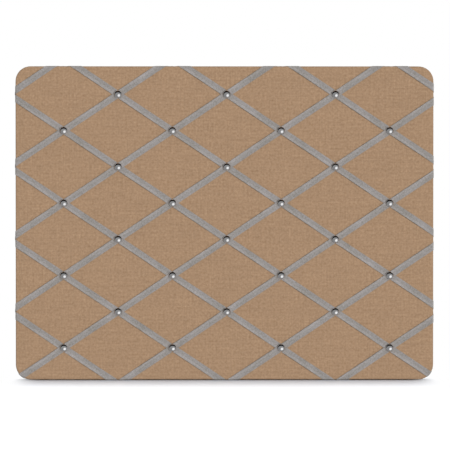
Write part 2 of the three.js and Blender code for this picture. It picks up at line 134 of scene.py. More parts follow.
class MemoRibbonSettings(bpy.types.PropertyGroup):
    """The ribbons of the lattice"""

    width: length("Ribbon width", "Width of a ribbon", 0.0095)
    thickness: length("Ribbon thickness", "Thickness of a ribbon", 0.0004)
    roll: length("Roll", "How far a ribbon stands up along its left edge", 0.00075)
    roll_width: length("Roll width", "Width of the strip that rises towards the left edge", 0.0036)
    roll_edge: length("Roll edge", "Width of the strip that turns down again at the left edge", 0.0006)
    ridge: length("Ridge", "How far a ribbon stands up near its right edge, above each stud", 0.00022)
    rib_pitch: length("Rib pitch", "Distance between cross ribs", 0.001)
    rib_height: length("Rib height", "Height of the cross ribs", 0.00008)
    tuck: length("Tuck", "Length of a ribbon's end behind the board", 0.014)
    ramp: length("Ramp", "Length over which a ribbon climbs on another", 0.005)
    wander: length("Wander", "How far a ribbon strays from a straight line", 0.00012)
    tint: colour("Ribbon colour", "Mean colour of the ribbons", (0.3135, 0.2925, 0.28))
    fleck: colour("Ribbon fleck", "Colour of the flecks in the ribbons", (0.31, 0.29, 0.34))


class MemoStudSettings(bpy.types.PropertyGroup):
    """The domed nails"""

    diameter: length("Stud diameter", "Diameter of a stud's head", 0.0111)
    height: length("Stud height", "Height of a stud's head", 0.0032)
    rim: length("Stud rim", "Height of the rolled rim", 0.0005)
    shank: length("Shank diameter", "Diameter of a stud's nail", 0.0016)
    shank_length: length("Shank length", "Length of a stud's nail", 0.011)
    seed: IntProperty(name="Seed", description="Seed of the way each stud is turned", default=4)
    tint: colour("Stud colour", "Colour of the bright plate", (0.83, 0.83, 0.84))


class MemoBackSettings(bpy.types.PropertyGroup):
    """The backing sheet, its staples and the bumpers"""

    corner_radius: length("Backing corner", "Corner radius of the backing sheet", 0.014)
    step: length("Backing mesh step", "Size of the backing's mesh", 0.006)
    ripple: length("Ripple", "Height of the backing's waves", 0.0001)
    wrinkle: length("Wrinkle", "Height of the fine wrinkles on the backing's back", 0.00012)
    dot_pitch: length("Dot pitch", "Distance between the dots pressed into the backing", 0.0014)
    staple_crown: length("Staple crown", "Length of a staple's crown", 0.0105)
    staple_wire: length("Staple wire", "Width of a staple's wire", 0.0011)
    staple_spacing: length("Staple spacing", "Distance between staples", 0.046)
    staple_inset: length("Staple inset", "Distance of the staples from the backing's edge", 0.006)
    staple_leg: length("Staple leg", "Length of a staple's legs", 0.007)
    seed: IntProperty(name="Seed", description="Seed of the staples' slant", default=11)
    tint: colour("Backing colour", "Colour of the backing sheet", (0.04, 0.039, 0.038))
    rubber_tint: colour("Bumper colour", "Colour of the bumpers", (0.04, 0.04, 0.04))
    bumper_face: length("Bumper face", "Diameter of a bumper's face", 0.0095)


class MemoHangerSettings(bpy.types.PropertyGroup):
    """The ring hangers"""

    strap_width: length("Strap width", "Width of a hanger's strap", 0.010)
    strap_length: length("Strap length", "Length of a hanger's strap from the ring's axis", 0.022)
    strap_thickness: length("Strap thickness", "Thickness of the strap's metal", 0.0008)
    strap_round: length("Strap corner", "Corner radius of the strap's free end", 0.0035)
    wire: length("Ring wire", "Diameter of the ring's wire", 0.0022)
    play: length("Ring play", "Room round the wire in the strap's loop", 0.00015)
    inside_width: length("Ring width", "Width inside the ring", 0.014)
    bend: length("Ring bend", "Bend radius at the straight leg's ends", 0.0025)
    side: length("Ring side", "Straight length between a bend and the bow", 0.0025)
    butt_gap: length("Butt gap", "Gap between the wire's ends", 0.0004)
    screw_head: length("Screw head height", "Height of the screw's head", 0.0017)
    screw_shank: length("Screw diameter", "Diameter of the screw's shank", 0.003)
    tint: colour("Zinc colour", "Colour of the zinc plate", (0.56, 0.56, 0.54))


class MemoStageSettings(bpy.types.PropertyGroup):
    """Floor, light and camera"""

    distance: length("Camera distance", "Distance from the camera to the board", 1.6)
    pitch: degrees("Camera pitch", "How far the camera looks down", 0.4)
    yaw: degrees("Camera yaw", "How far the camera stands to the left of straight in front", 0.15)
    focal_pixels: number("Focal length", "Focal length in pixels of the picture", 1097.0)
    aim: FloatVectorProperty(
        name="Aim", description="Point that the camera looks at", default=(0.0006, -0.0092, 0.2268), size=3,
        subtype="TRANSLATION", unit="LENGTH",
    )
    key: number("Key light", "Strength of the light from the right", 2.02)
    top: number("Top light", "Strength of the light on the floor", 2.12)
    top_tint: colour("Top light colour", "Colour of the light on the floor", (1.0, 0.946, 0.862))
    sky: number("Sky light", "Strength of the even light from all round", 0.686)
    floor_tint: colour("Floor colour", "Colour of the floor", (0.84, 0.885, 0.97))
    floor_light: colour(
        "Floor light", "Share of the even light that comes up from the floor", (0.85, 0.85, 0.85)
    )


SETTINGS = (
    ("memo_cloth", MemoClothSettings),
    ("memo_ribbon", MemoRibbonSettings),
    ("memo_stud", MemoStudSettings),
    ("memo_back", MemoBackSettings),
    ("memo_hanger", MemoHangerSettings),
    ("memo_stage", MemoStageSettings),
)


# Shader nodes
class NodeSheet:
    """A node tree with short ways to add and join nodes"""

    def __init__(self, tree):
        self.tree = tree

    def add(self, kind, values=None, **settings):
        node = self.tree.nodes.new(kind)
        for key, value in settings.items():
            setattr(node, key, value)
        for key, value in (values or {}).items():
            self.put(node.inputs[key], value)
        return node

    def put(self, socket, value):
        if isinstance(value, bpy.types.NodeSocket):
            self.tree.links.new(value, socket)
        else:
            socket.default_value = value

    def math(self, operation, *values):
        return self.add("ShaderNodeMath", dict(enumerate(values)), operation=operation).outputs[0]

    def vector_math(self, operation, values):
        return self.add("ShaderNodeVectorMath", values, operation=operation).outputs

    def scaled(self, vector, factor):
        return self.vector_math("SCALE", {0: vector, "Scale": factor})[0]

    def ramp(self, value, start, end, low=0.0, high=1.0):
        """Rises smoothly from low to high as a value goes from start to end"""
        values = {"Value": value, "From Min": start, "From Max": end, "To Min": low, "To Max": high}
        return self.add("ShaderNodeMapRange", values, interpolation_type="SMOOTHSTEP").outputs[0]

    def noise(self, vector, scale, detail=2.0, roughness=0.5):
        values = {"Vector": vector, "Scale": scale, "Detail": detail, "Roughness": roughness}
        return self.add("ShaderNodeTexNoise", values).outputs["Fac"]

    def axes(self, vector):
        return self.add("ShaderNodeSeparateXYZ", {"Vector": vector}).outputs

    def joined(self, x, y, z):
        return self.add("ShaderNodeCombineXYZ", {"X": x, "Y": y, "Z": z}).outputs[0]


def cleared(owner):
    """The sheet of a material's or a world's nodes, with none on it yet"""
    owner.use_nodes = True
    owner.node_tree.nodes.clear()
    return NodeSheet(owner.node_tree)


def node_group(name, kind, inputs, outputs, wiring):
    """The node group of a name, made and wired the first time that it is asked for"""
    if name in bpy.data.node_groups:
        return bpy.data.node_groups[name]
    tree = bpy.data.node_groups.new(name, kind)
    for way, sockets in (("INPUT", inputs), ("OUTPUT", outputs)):
        for label, value in sockets.items():
            tree.interface.new_socket(name=label, in_out=way, socket_type="NodeSocket" + value)
    sheet = NodeSheet(tree)
    sheet.add("NodeGroupOutput", wiring(sheet, sheet.add("NodeGroupInput").outputs))
    return tree


def wire_mottle(sheet, given):
    clouds = sheet.noise(given["Vector"], given["Scale"], detail=4.0, roughness=0.6)
    swing = sheet.math("MULTIPLY", sheet.math("SUBTRACT", clouds, 0.5), given["Amount"])
    shaded = sheet.vector_math("ADD", {0: given["Colour"], 1: sheet.scaled(given["Fleck"], swing)})
    return {"Colour": shaded[0], "Mask": clouds}


def mottle_group():
    """A colour with flecks of another in it, lighter and darker by turns, and a mask of the same clouds"""
    inputs = {"Vector": "Vector", "Scale": "Float", "Colour": "Color", "Fleck": "Color", "Amount": "Float"}
    return node_group("mottle", "ShaderNodeTree", inputs, {"Colour": "Color", "Mask": "Float"}, wire_mottle)


MEAN_BUMP = (2 / math.pi) ** 2  # mean height where two threads cross
WEFT_APART = 9.0  # between the weft's noise and the warp's
SHADE_HEIGHT = 0.8  # how much a thread's shade counts in its height


def wire_threads(sheet, given):
    at = sheet.axes(given["Vector"])
    fine_u, fine_v = [sheet.math("DIVIDE", at[axis], given["Pitch"]) for axis in "XY"]
    slow_u, slow_v = [sheet.math("DIVIDE", at[axis], given["Slub"]) for axis in "XY"]
    warp = sheet.noise(sheet.joined(fine_u, slow_v, 0.0), scale=0.5, detail=1.0)
    weft = sheet.noise(sheet.joined(slow_u, fine_v, WEFT_APART), scale=0.5, detail=1.0)
    both = sheet.math("SUBTRACT", sheet.math("ADD", warp, weft), 1.0)
    over, under = [sheet.math("SINE", sheet.math("MULTIPLY", fine, math.pi)) for fine in (fine_u, fine_v)]
    bumps = sheet.math("ABSOLUTE", sheet.math("MULTIPLY", over, under))
    # painted shade: the gaps between threads are painted darker, and the mean colour stays
    painted_gap_shade = sheet.math("MULTIPLY", sheet.math("SUBTRACT", bumps, MEAN_BUMP), given["Gap"])
    shades = sheet.math("MULTIPLY", both, given["Amount"])
    factor = sheet.math("ADD", sheet.math("ADD", shades, painted_gap_shade), 1.0)
    height = sheet.math("ADD", bumps, sheet.math("MULTIPLY", both, SHADE_HEIGHT))
    return {"Colour": sheet.scaled(given["Colour"], factor), "Height": height}


def thread_group():
    """Threads that cross at right angles: each keeps its own shade for the length of a slub, and the gaps
    between them get painted shade
    """
    inputs = {"Vector": "Vector", "Pitch": "Float", "Slub": "Float", "Colour": "Color"}
    inputs.update({"Amount": "Float", "Gap": "Float"})
    outputs = {"Colour": "Color", "Height": "Float"}
    return node_group("threads", "ShaderNodeTree", inputs, outputs, wire_threads)


SMEAR_SCALE = 900.0  # noise cells to a metre
SCRATCH_SCALE = (6000.0, 400.0, 900.0)


def wire_smudges(sheet, given):
    smears = sheet.noise(given["Vector"], SMEAR_SCALE, detail=3.0)
    stretched = sheet.add("ShaderNodeMapping", {"Vector": given["Vector"], "Scale": SCRATCH_SCALE})
    lines = sheet.noise(stretched.outputs[0], scale=1.0)
    # both noises have a mean of a half, and the scratches count for half as much as the smears
    mixed = sheet.math("SUBTRACT", sheet.math("ADD", smears, sheet.math("MULTIPLY", lines, 0.5)), 0.75)
    swing = sheet.math("MULTIPLY", mixed, given["Amount"])
    return {"Roughness": sheet.math("ADD", given["Roughness"], swing), "Height": lines}


def smudge_group():
    """Roughness of metal touched by hands: faint smears and fine scratches"""
    inputs = {"Vector": "Vector", "Roughness": "Float", "Amount": "Float"}
    outputs = {"Roughness": "Float", "Height": "Float"}
    return node_group("smudges", "ShaderNodeTree", inputs, outputs, wire_smudges)


def new_material(name, **constants):
    """A material with one Principled shader: (material, sheet, shader)"""
    material = bpy.data.materials.new(name)
    sheet = cleared(material)
    values = {key.replace("_", " "): value for key, value in constants.items()}
    shader = sheet.add("ShaderNodeBsdfPrincipled", values)
    sheet.add("ShaderNodeOutputMaterial", {"Surface": shader.outputs[0]})
    return material, sheet, shader


def place_group(sheet, tree, **values):
    return sheet.add("ShaderNodeGroup", values, node_tree=tree).outputs


def opaque(tint):
    return (*tint, 1.0)


def mottled(sheet, at, tint, fleck, scale, amount):
    values = {"Vector": at, "Colour": tint, "Fleck": fleck, "Scale": scale, "Amount": amount}
    return place_group(sheet, mottle_group(), **values)


def threaded(sheet, at, tint, pitch, slub, amount, gap):
    values = {"Vector": at, "Colour": tint, "Pitch": pitch, "Slub": slub, "Amount": amount, "Gap": gap}
    return place_group(sheet, thread_group(), **values)


def cloudy_roughness(sheet, shader, clouds, least, swing):
    """Roughness that follows a mottle's clouds"""
    rough = sheet.math("ADD", least, sheet.math("MULTIPLY", clouds["Mask"], swing))
    sheet.put(shader.inputs["Roughness"], rough)


def bump(sheet, shader, height, strength, distance):
    node = sheet.add("ShaderNodeBump", {"Strength": strength, "Distance": distance, "Height": height})
    sheet.put(shader.inputs["Normal"], node.outputs[0])


PAINTED_EDGE_DARKENING = 0.17  # how much darker the cloth is painted on its rounded edges, a painted shade
PAINTED_RIB_LIGHT = 0.13  # painted light and shade on the cross ribs: how much paler the crests are painted, and darker the hollows
STRIP_START, STRIP_END = 0.0004, 0.0018  # a painted highlight: a ribbon is painted paler from one to the other, across it, where its left edge rolls up towards the light
PAINTED_HIGHLIGHT_STRIP = 1.07
GRAIN_FINENESS = 9.0  # how much finer the grain of a matt piece is than its clouds
MATT_SWING = 0.12


def cloth_material(settings):
    material, sheet, shader = new_material(
        "tan_linen", Sheen_Weight=0.05, Sheen_Roughness=0.5, Specular_IOR_Level=0.15
    )
    at = sheet.add("ShaderNodeUVMap", uv_map="cut").outputs[0]
    clouds = mottled(sheet, at, opaque(settings.tint), opaque(settings.fleck), scale=310.0, amount=0.78)
    # gap sets how much painted shade falls between the threads
    threads = threaded(
        sheet, at, clouds["Colour"], settings.thread_pitch, settings.slub_length, amount=0.24, gap=0.4
    )
    # painted shade: the cloth is painted darker on its rounded edges
    painted_edge_shade = sheet.add("ShaderNodeAttribute", attribute_name="painted_edge_shade").outputs["Fac"]
    edge_shade_factor = sheet.math("SUBTRACT", 1.0, sheet.math("MULTIPLY", painted_edge_shade, PAINTED_EDGE_DARKENING))
    sheet.put(shader.inputs["Base Color"], sheet.scaled(threads["Colour"], edge_shade_factor))
    cloudy_roughness(sheet, shader, clouds, least=0.82, swing=0.16)
    bump(sheet, shader, threads["Height"], strength=0.3, distance=0.0001)
    return material


def ribbon_material(settings):
    material, sheet, shader = new_material(
        "grey_grosgrain", Sheen_Weight=0.08, Sheen_Roughness=0.35, Specular_IOR_Level=0.3
    )
    at = sheet.add("ShaderNodeUVMap", uv_map="cut").outputs[0]
    fleck = opaque(settings.fleck)
    shades = mottled(sheet, at, opaque(settings.tint), fleck, scale=22.0, amount=0.7)
    clouds = mottled(sheet, at, shades["Colour"], fleck, scale=420.0, amount=1.1)
    # gap sets how much painted shade falls between the threads
    threads = threaded(sheet, at, clouds["Colour"], pitch=0.0004, slub=0.012, amount=0.16, gap=0.2)
    # painted highlight along the ribbon's rolled left edge
    strip = sheet.ramp(sheet.axes(at)["Y"], STRIP_START, STRIP_END, 1.0, PAINTED_HIGHLIGHT_STRIP)
    # painted light and shade on the cross ribs
    rib = sheet.add("ShaderNodeAttribute", attribute_name="rib").outputs["Fac"]
    ribbed = sheet.math("ADD", sheet.math("MULTIPLY", rib, PAINTED_RIB_LIGHT), 1.0)
    shade = sheet.math("MULTIPLY", strip, ribbed)
    sheet.put(shader.inputs["Base Color"], sheet.scaled(threads["Colour"], shade))
    cloudy_roughness(sheet, shader, clouds, least=0.5, swing=0.2)
    bump(sheet, shader, threads["Height"], strength=0.25, distance=0.00004)
    return material


def backing_material(settings):
    """A black spun sheet with rows of pressed dots on the slant"""
    material, sheet, shader = new_material("black_spun_sheet", Specular_IOR_Level=0.3)
    at = sheet.add("ShaderNodeTexCoord").outputs["Object"]
    slanting = (-QUARTER_TURN, 0.0, QUARTER_TURN / 2)
    turned = sheet.add("ShaderNodeMapping", {"Vector": at, "Rotation": slanting}).outputs[0]
    plain = opaque(settings.tint)
    clouds = mottled(sheet, at, plain, plain, scale=90.0, amount=1.6)
    # gap sets how much painted shade falls between the pressed dots
    dots = threaded(sheet, turned, clouds["Colour"], settings.dot_pitch, slub=0.004, amount=0.45, gap=0.7)
    sheet.put(shader.inputs["Base Color"], dots["Colour"])
    cloudy_roughness(sheet, shader, clouds, least=0.7, swing=0.25)
    bump(sheet, shader, dots["Height"], strength=0.5, distance=0.00025)
    return material


def metal_material(name, tint, roughness, smudge, mottling):
    material, sheet, shader = new_material(name, Metallic=1.0)
    at = sheet.add("ShaderNodeTexCoord").outputs["Object"]
    clouds = mottled(sheet, at, opaque(tint), opaque(tint), scale=420.0, amount=mottling)
    marks = place_group(sheet, smudge_group(), Vector=at, Roughness=roughness, Amount=smudge)
    sheet.put(shader.inputs["Base Color"], clouds["Colour"])
    sheet.put(shader.inputs["Roughness"], marks["Roughness"])
    bump(sheet, shader, marks["Height"], strength=0.05, distance=0.00002)
    return material


def matt_material(name, tint, roughness, scale, mottling, depth):
    """Wadding, fibreboard and rubber: a cloudy colour with a fine grain standing up"""
    material, sheet, shader = new_material(name, Specular_IOR_Level=0.25)
    at = sheet.add("ShaderNodeTexCoord").outputs["Object"]
    clouds = mottled(sheet, at, opaque(tint), opaque(tint), scale, mottling)
    grain = sheet.noise(at, scale * GRAIN_FINENESS, detail=3.0, roughness=0.65)
    sheet.put(shader.inputs["Base Color"], clouds["Colour"])
    cloudy_roughness(sheet, shader, clouds, roughness - MATT_SWING / 2, MATT_SWING)
    bump(sheet, shader, grain, strength=0.5, distance=depth)
    return material


# Meshes
def mesh_of(verts, faces, uv=None, sharp_degrees=40.0):
    """A smooth mesh that keeps edges sharper than an angle. uv has one place for each vertex."""
    mesh = bpy.data.meshes.new("mesh")
    mesh.from_pydata([tuple(v) for v in np.asarray(verts, float)], [], [tuple(f) for f in faces])
    mesh.shade_smooth()
    mesh.set_sharp_from_angle(angle=math.radians(sharp_degrees))
    if uv is not None:
        corner_vertex = np.zeros(len(mesh.loops), np.int32)
        mesh.loops.foreach_get("vertex_index", corner_vertex)
        layer = mesh.uv_layers.new(name="cut")
        layer.data.foreach_set("uv", np.asarray(uv, np.float32)[corner_vertex].ravel())
    return mesh


def set_values(mesh, name, values):
    """Gives each vertex a number"""
    mesh.attributes.new(name, "FLOAT", "POINT").data.foreach_set("value", np.asarray(values, np.float32))


def turn_faces_out(mesh, merge=0.0):
    """The mesh with its faces outwards, and with points closer than a distance made one"""
    work = bmesh.new()
    work.from_mesh(mesh)
    if merge:
        bmesh.ops.remove_doubles(work, verts=work.verts, dist=merge)
    bmesh.ops.recalc_face_normals(work, faces=work.faces)
    work.to_mesh(mesh)
    work.free()
    return mesh


def linked(name, data):
    """A new object in the scene's own collection"""
    made = bpy.data.objects.new(name, data)
    bpy.context.scene.collection.objects.link(made)
    return made


def add_piece(name, mesh, material, body, replaced=()):
    """The finished piece: it sits at the origin, rides on a body and stands for CAD nodes"""
    mesh.name = name
    mesh.materials.clear()
    mesh.materials.append(material)
    piece = linked(name, mesh)
    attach(piece, body)
    if replaced:
        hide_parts(*replaced)
    return piece


def arc(centre, radius, start, end, count):
    """Points of a round stretch of a profile, by the angle from the way out towards +Y"""
    angles = np.linspace(start, end, count)
    return [(centre[0] + radius * math.cos(a), centre[1] + radius * math.sin(a)) for a in angles]


def tube(rings):
    """Vertices and faces of a tube through rings of one count of points, closed at both ends"""
    rows, count = rings.shape[:2]
    index = np.arange(rows * count).reshape(rows, count)
    after = np.roll(index, -1, axis=1)
    faces = np.stack([index[:-1], index[1:], after[1:], after[:-1]], -1).reshape(-1, 4).tolist()
    return rings.reshape(-1, 3), faces + [index[0].tolist(), index[-1, ::-1].tolist()]


def wire(path, section):
    """A tube with a section of (u, v) on each point of a path, which has its own two directions there"""
    return tube(np.array([[tuple(at + side * u + up * v) for u, v in section] for at, side, up in path]))


def stand_up(points, y):
    """Points (x, z) about the board's middle, put at a depth of y"""
    return np.stack([points[:, 0], np.broadcast_to(y, len(points)), CENTRE_Z + points[:, 1]], -1)


def lathe(profile, sides, centre):
    """Vertices and faces of a piece turned about Y. profile has (radius, y) from the axis to the axis."""
    verts = [(0.0, profile[0][1], 0.0)]
    angles = np.arange(sides) * (2 * math.pi / sides)
    for radius, y in profile[1:-1]:
        verts += [(radius * math.cos(a), y, radius * math.sin(a)) for a in angles]
    verts.append((0.0, profile[-1][1], 0.0))
    rings = len(profile) - 2
    last = len(verts) - 1
    faces = []
    for k in range(sides):
        nxt = (k + 1) % sides
        faces.append((0, 1 + k, 1 + nxt))
        for r in range(rings - 1):
            here, after = 1 + r * sides, 1 + (r + 1) * sides
            faces.append((here + k, after + k, after + nxt, here + nxt))
        end = 1 + (rings - 1) * sides
        faces.append((end + k, last, end + nxt))
    return np.array(verts) + np.array(centre), faces


def smooth_step(x):
    x = np.clip(x, 0.0, 1.0)
    return x * x * (3 - 2 * x)


def rounded_grid(half_x, half_z, radius, step):
    """A grid pressed into a rounded rectangle: points (x, z), faces, and the boundary anticlockwise"""
    across = max(2, round(2 * half_x / step))
    up = max(2, round(2 * half_z / step))
    x, z = np.meshgrid(np.linspace(-half_x, half_x, across + 1), np.linspace(-half_z, half_z, up + 1))
    a = np.clip((np.abs(x) - (half_x - radius)) / radius, 0, None)
    b = np.clip((np.abs(z) - (half_z - radius)) / radius, 0, None)
    corner = (a > 0) & (b > 0)
    shrink = np.where(corner, np.maximum(a, b) / np.maximum(np.hypot(a, b), 1e-9), 1.0)
    x = np.where(corner, np.sign(x) * (half_x - radius + a * shrink * radius), x)
    z = np.where(corner, np.sign(z) * (half_z - radius + b * shrink * radius), z)
    index = np.arange((up + 1) * (across + 1)).reshape(up + 1, across + 1)
    faces = np.stack([index[:-1, :-1], index[:-1, 1:], index[1:, 1:], index[1:, :-1]], -1).reshape(-1, 4)
    rim = np.concatenate([index[0, :-1], index[:-1, -1], index[-1, :0:-1], index[:0:-1, 0]])
    return np.stack([x.ravel(), z.ravel()], -1), faces, rim


def outward_of(points, half_x, half_z, radius):
    """The way that a rounded rectangle's outline faces at points on it"""
    beyond = np.abs(points) - np.array([half_x - radius, half_z - radius])
    # on a straight side only the part across it counts
    facing = np.clip(beyond, 0, None) * np.where(points < 0, -1.0, 1.0)
    return facing / np.linalg.norm(facing, axis=1, keepdims=True)


def bands(rings):
    """Faces between closed rings of vertices, for a shell whose first ring bounds a face anticlockwise"""
    faces = []
    for before, after in zip(rings[:-1], rings[1:]):
        faces.append(np.stack([np.roll(before, -1), before, after, np.roll(after, -1)], -1))
    return np.concatenate(faces)


def line_distance(x, z, rising):
    """Distance from points on the face, opened out flat, to the middle of the nearest ribbon one way"""
    along = (x - MIDDLE_X) / LATTICE_X
    count = (z - MIDDLE_Z) / LATTICE_Z + (-along if rising else along)
    nearest = np.clip(2 * np.round(count / 2), LOWEST_LINE, HIGHEST_LINE)
    return np.abs(count - nearest) * LINE_SPACING


class Edge:
    """The way round the board's edge from the rim, where the face starts to round over, to the hem"""

    def __init__(self, settings):
        self.round = settings.edge_round
        self.half_x = HALF_WIDTH - self.round
        self.half_z = HALF_HEIGHT - self.round
        self.radius = settings.corner_radius - self.round
        self.arc = self.round * QUARTER_TURN
        self.wall = HEM_Y - FRONT_Y - 2 * self.round
        self.full = 2 * self.arc + self.wall
        self.halves = np.array([self.half_z, self.half_x] * 2) - self.radius
        self.reaches = np.array([self.half_x, self.half_z] * 2)
        lengths = 2 * self.halves + self.radius * QUARTER_TURN
        self.starts = np.concatenate([[0.0], np.cumsum(lengths)[:-1]]) - self.halves[0]
        self.length = lengths.sum()

    def section(self, run):
        """How far a length walked from the rim is out and back, and the way the surface faces there"""
        run = np.clip(run, 0.0, self.full)
        first = np.clip(run / self.round, 0, QUARTER_TURN)
        second = np.clip((run - self.arc - self.wall) / self.round, 0, QUARTER_TURN)
        flat = np.clip(run - self.arc, 0, self.wall)
        out = self.round * (np.sin(first) + np.cos(second) - 1)
        back = self.round * (1 - np.cos(first) + np.sin(second)) + flat
        return out, back, np.sin(first) * np.cos(second), np.sin(second) - np.cos(first)

    def rim(self, distance):
        """Point on the rim and the way it faces, by the length along it from the right side's middle"""
        wrapped = self.starts[0] + np.mod(distance - self.starts[0], self.length)
        side = np.searchsorted(self.starts, wrapped, side="right") - 1
        past = wrapped - self.starts[side] - 2 * self.halves[side]
        angle = side * QUARTER_TURN
        facing = np.stack([np.cos(angle), np.sin(angle)], -1)
        along = np.stack([-facing[..., 1], facing[..., 0]], -1)
        turned = angle + np.clip(past, 0, None) / self.radius
        outward = np.stack([np.cos(turned), np.sin(turned)], -1)
        straight = np.minimum(past, 0.0) + self.halves[side]
        centre = facing * (self.reaches[side] - self.radius)[..., None] + along * straight[..., None]
        return centre + outward * self.radius, outward

    def leaves(self, start, way):
        """Run along a line to where it leaves the face, and the length along the rim there"""
        for side in range(4):
            angle = side * QUARTER_TURN
            facing = np.array([math.cos(angle), math.sin(angle)])
            along = np.array([-facing[1], facing[0]])
            if way @ facing > 1e-9:
                run = (self.reaches[side] - start @ facing) / (way @ facing)
                at = (start + way * run) @ along
                if abs(at) <= self.halves[side]:
                    return run, self.starts[side] + self.halves[side] + at
            corner = facing * (self.reaches[side] - self.radius) + along * self.halves[side]
            to_corner = corner - start
            nearest = to_corner @ way
            chord = self.radius**2 - to_corner @ to_corner + nearest**2
            if chord < 0:
                continue
            run = nearest + math.sqrt(chord)
            spoke = way * run - to_corner
            if spoke @ facing >= 0 and spoke @ along >= 0:
                turned = math.atan2(spoke @ along, spoke @ facing)
                return run, self.starts[side] + 2 * self.halves[side] + self.radius * turned
        raise RuntimeError("a ribbon misses the face of the board")


# Cloth, wadding and core
DRAWN_DOWN = 0.012  # width of the strip beside a ribbon or an edge where the cloth is drawn down
TURN_STEPS, WALL_STEPS, HEM_STEPS = 6, 4, 9
PLEATS_EACH_CORNER = 2
PLEATS_START = 0.02  # how far round a corner they start
PLEATS_RISE = 4  # they have their full height a quarter of the way in
PAINTED_EDGE_SHADE_PROFILE = (0.0, 1.0, 1.0, 0.15, 0.5, 0.2)  # painted shade on the cloth's edge, from the rim, round the edge, to the hem


def cloth_mesh(settings, ribbon_width):
    edge = Edge(settings)
    flat, faces, rim = rounded_grid(edge.half_x, edge.half_z, edge.radius, settings.step)
    rim_points = flat[rim]
    outward = outward_of(rim_points, edge.half_x, edge.half_z, edge.radius)
    straight = np.array([edge.half_x, edge.half_z]) - edge.radius
    inner_straight = np.array([HALF_WIDTH, HALF_HEIGHT]) - settings.hem_width - settings.hem_corner
    # the inner edge of the hem has its own corners
    share = np.clip(np.abs(rim_points) / straight, 0, 1)
    inner = np.sign(rim_points) * inner_straight * share + outward * settings.hem_corner

    apart = np.minimum(line_distance(*flat.T, True), line_distance(*flat.T, False)) - ribbon_width / 2
    from_edge = np.minimum(edge.half_x - np.abs(flat[:, 0]), edge.half_z - np.abs(flat[:, 1]))
    puff = settings.puff * smooth_step(apart / DRAWN_DOWN) * smooth_step(from_edge / DRAWN_DOWN)

    turn = np.linspace(0, edge.arc, TURN_STEPS + 1)[1:]
    wall = np.linspace(0, edge.wall, WALL_STEPS + 1)[1:]
    turns = np.concatenate([turn, edge.arc + wall, edge.arc + edge.wall + turn])
    hem_shares = np.linspace(0, 1, HEM_STEPS + 1)[1:]
    around = np.arctan2(outward[:, 1], outward[:, 0])
    gathers = np.sin(around * 2 * PLEATS_EACH_CORNER) ** 2 * (np.abs(outward).min(1) > PLEATS_START)

    def layer(lift):
        """One side of the cloth: the face, the turns round the edge and the hem"""
        verts = [stand_up(flat, FRONT_Y - lift - puff)]
        for run in turns:
            out, back, faces_out, faces_back = edge.section(run)
            at = rim_points + outward * (out + faces_out * lift)
            verts.append(stand_up(at, FRONT_Y + back + faces_back * lift))
        for part in hem_shares:
            rise = settings.pleat * gathers * smooth_step(part * PLEATS_RISE)
            verts.append(stand_up(rim_points + (inner - rim_points) * part, HEM_Y + lift + rise))
        return np.concatenate(verts)

    hem_runs = edge.full + hem_shares * (settings.hem_width - edge.round)
    cut = np.concatenate([flat] + [rim_points + outward * run for run in [*turns, *hem_runs]])
    rings = [rim]
    for k in range(len(turns) + len(hem_shares)):
        rings.append(len(flat) + k * len(rim) + np.arange(len(rim)))
    outer_faces = np.concatenate([faces, bands(rings)])
    outer, under = layer(0.0), layer(-settings.thickness)
    inner_faces = outer_faces[:, ::-1] + len(outer)
    lip = bands([rings[-1], rings[-1] + len(outer)])
    all_faces = np.concatenate([outer_faces, inner_faces, lip])
    verts = np.concatenate([outer, under])
    mesh = mesh_of(verts, all_faces.tolist(), np.concatenate([cut, cut]), sharp_degrees=60.0)
    # the painted shade is strongest on the two rounded edges
    edge_shade_places = [0.0, edge.arc / 4, edge.arc, edge.full / 2, edge.full - edge.arc, edge.full]
    edge_shade_levels = np.interp(turns, edge_shade_places, PAINTED_EDGE_SHADE_PROFILE)
    painted_edge_shade = [np.zeros(len(flat)), np.repeat(edge_shade_levels, len(rim)), np.zeros(len(rim) * len(hem_shares))]
    set_values(mesh, "painted_edge_shade", np.concatenate(painted_edge_shade + painted_edge_shade))
    return mesh


def closed_sheet(half_x, half_z, radius, step, front, back, bulge):
    """A sheet between two heights over a rounded rectangle, with a rounded cut edge"""
    flat, faces, rim = rounded_grid(half_x, half_z, radius, step)
    outward = outward_of(flat[rim], half_x, half_z, radius)
    y_front, y_back = front(flat), back(flat)
    edge = stand_up(flat[rim] + outward * bulge, (y_front[rim] + y_back[rim]) / 2)
    verts = np.concatenate([stand_up(flat, y_front), stand_up(flat, y_back), edge])
    count = len(flat)
    sides = bands([rim, 2 * count + np.arange(len(rim)), rim + count])
    all_faces = np.concatenate([faces, faces[:, ::-1] + count, sides])
    return mesh_of(verts, all_faces.tolist(), sharp_degrees=80.0)


WAVE_COUNT = 6
WAVE_SIZES = (0.7, 1.6)  # least and most, as shares of the size asked for


def waves(flat, size, seed):
    """Slow waves over the board, from -1 to 1"""
    draw = np.random.default_rng(seed)
    total = np.zeros(len(flat))
    for _ in range(WAVE_COUNT):
        angle, phase = draw.uniform(0, 2 * math.pi, 2)
        way = np.array([math.cos(angle), math.sin(angle)])
        total += np.sin(flat @ way * (2 * math.pi / (size * draw.uniform(*WAVE_SIZES))) + phase)
    return total / WAVE_COUNT


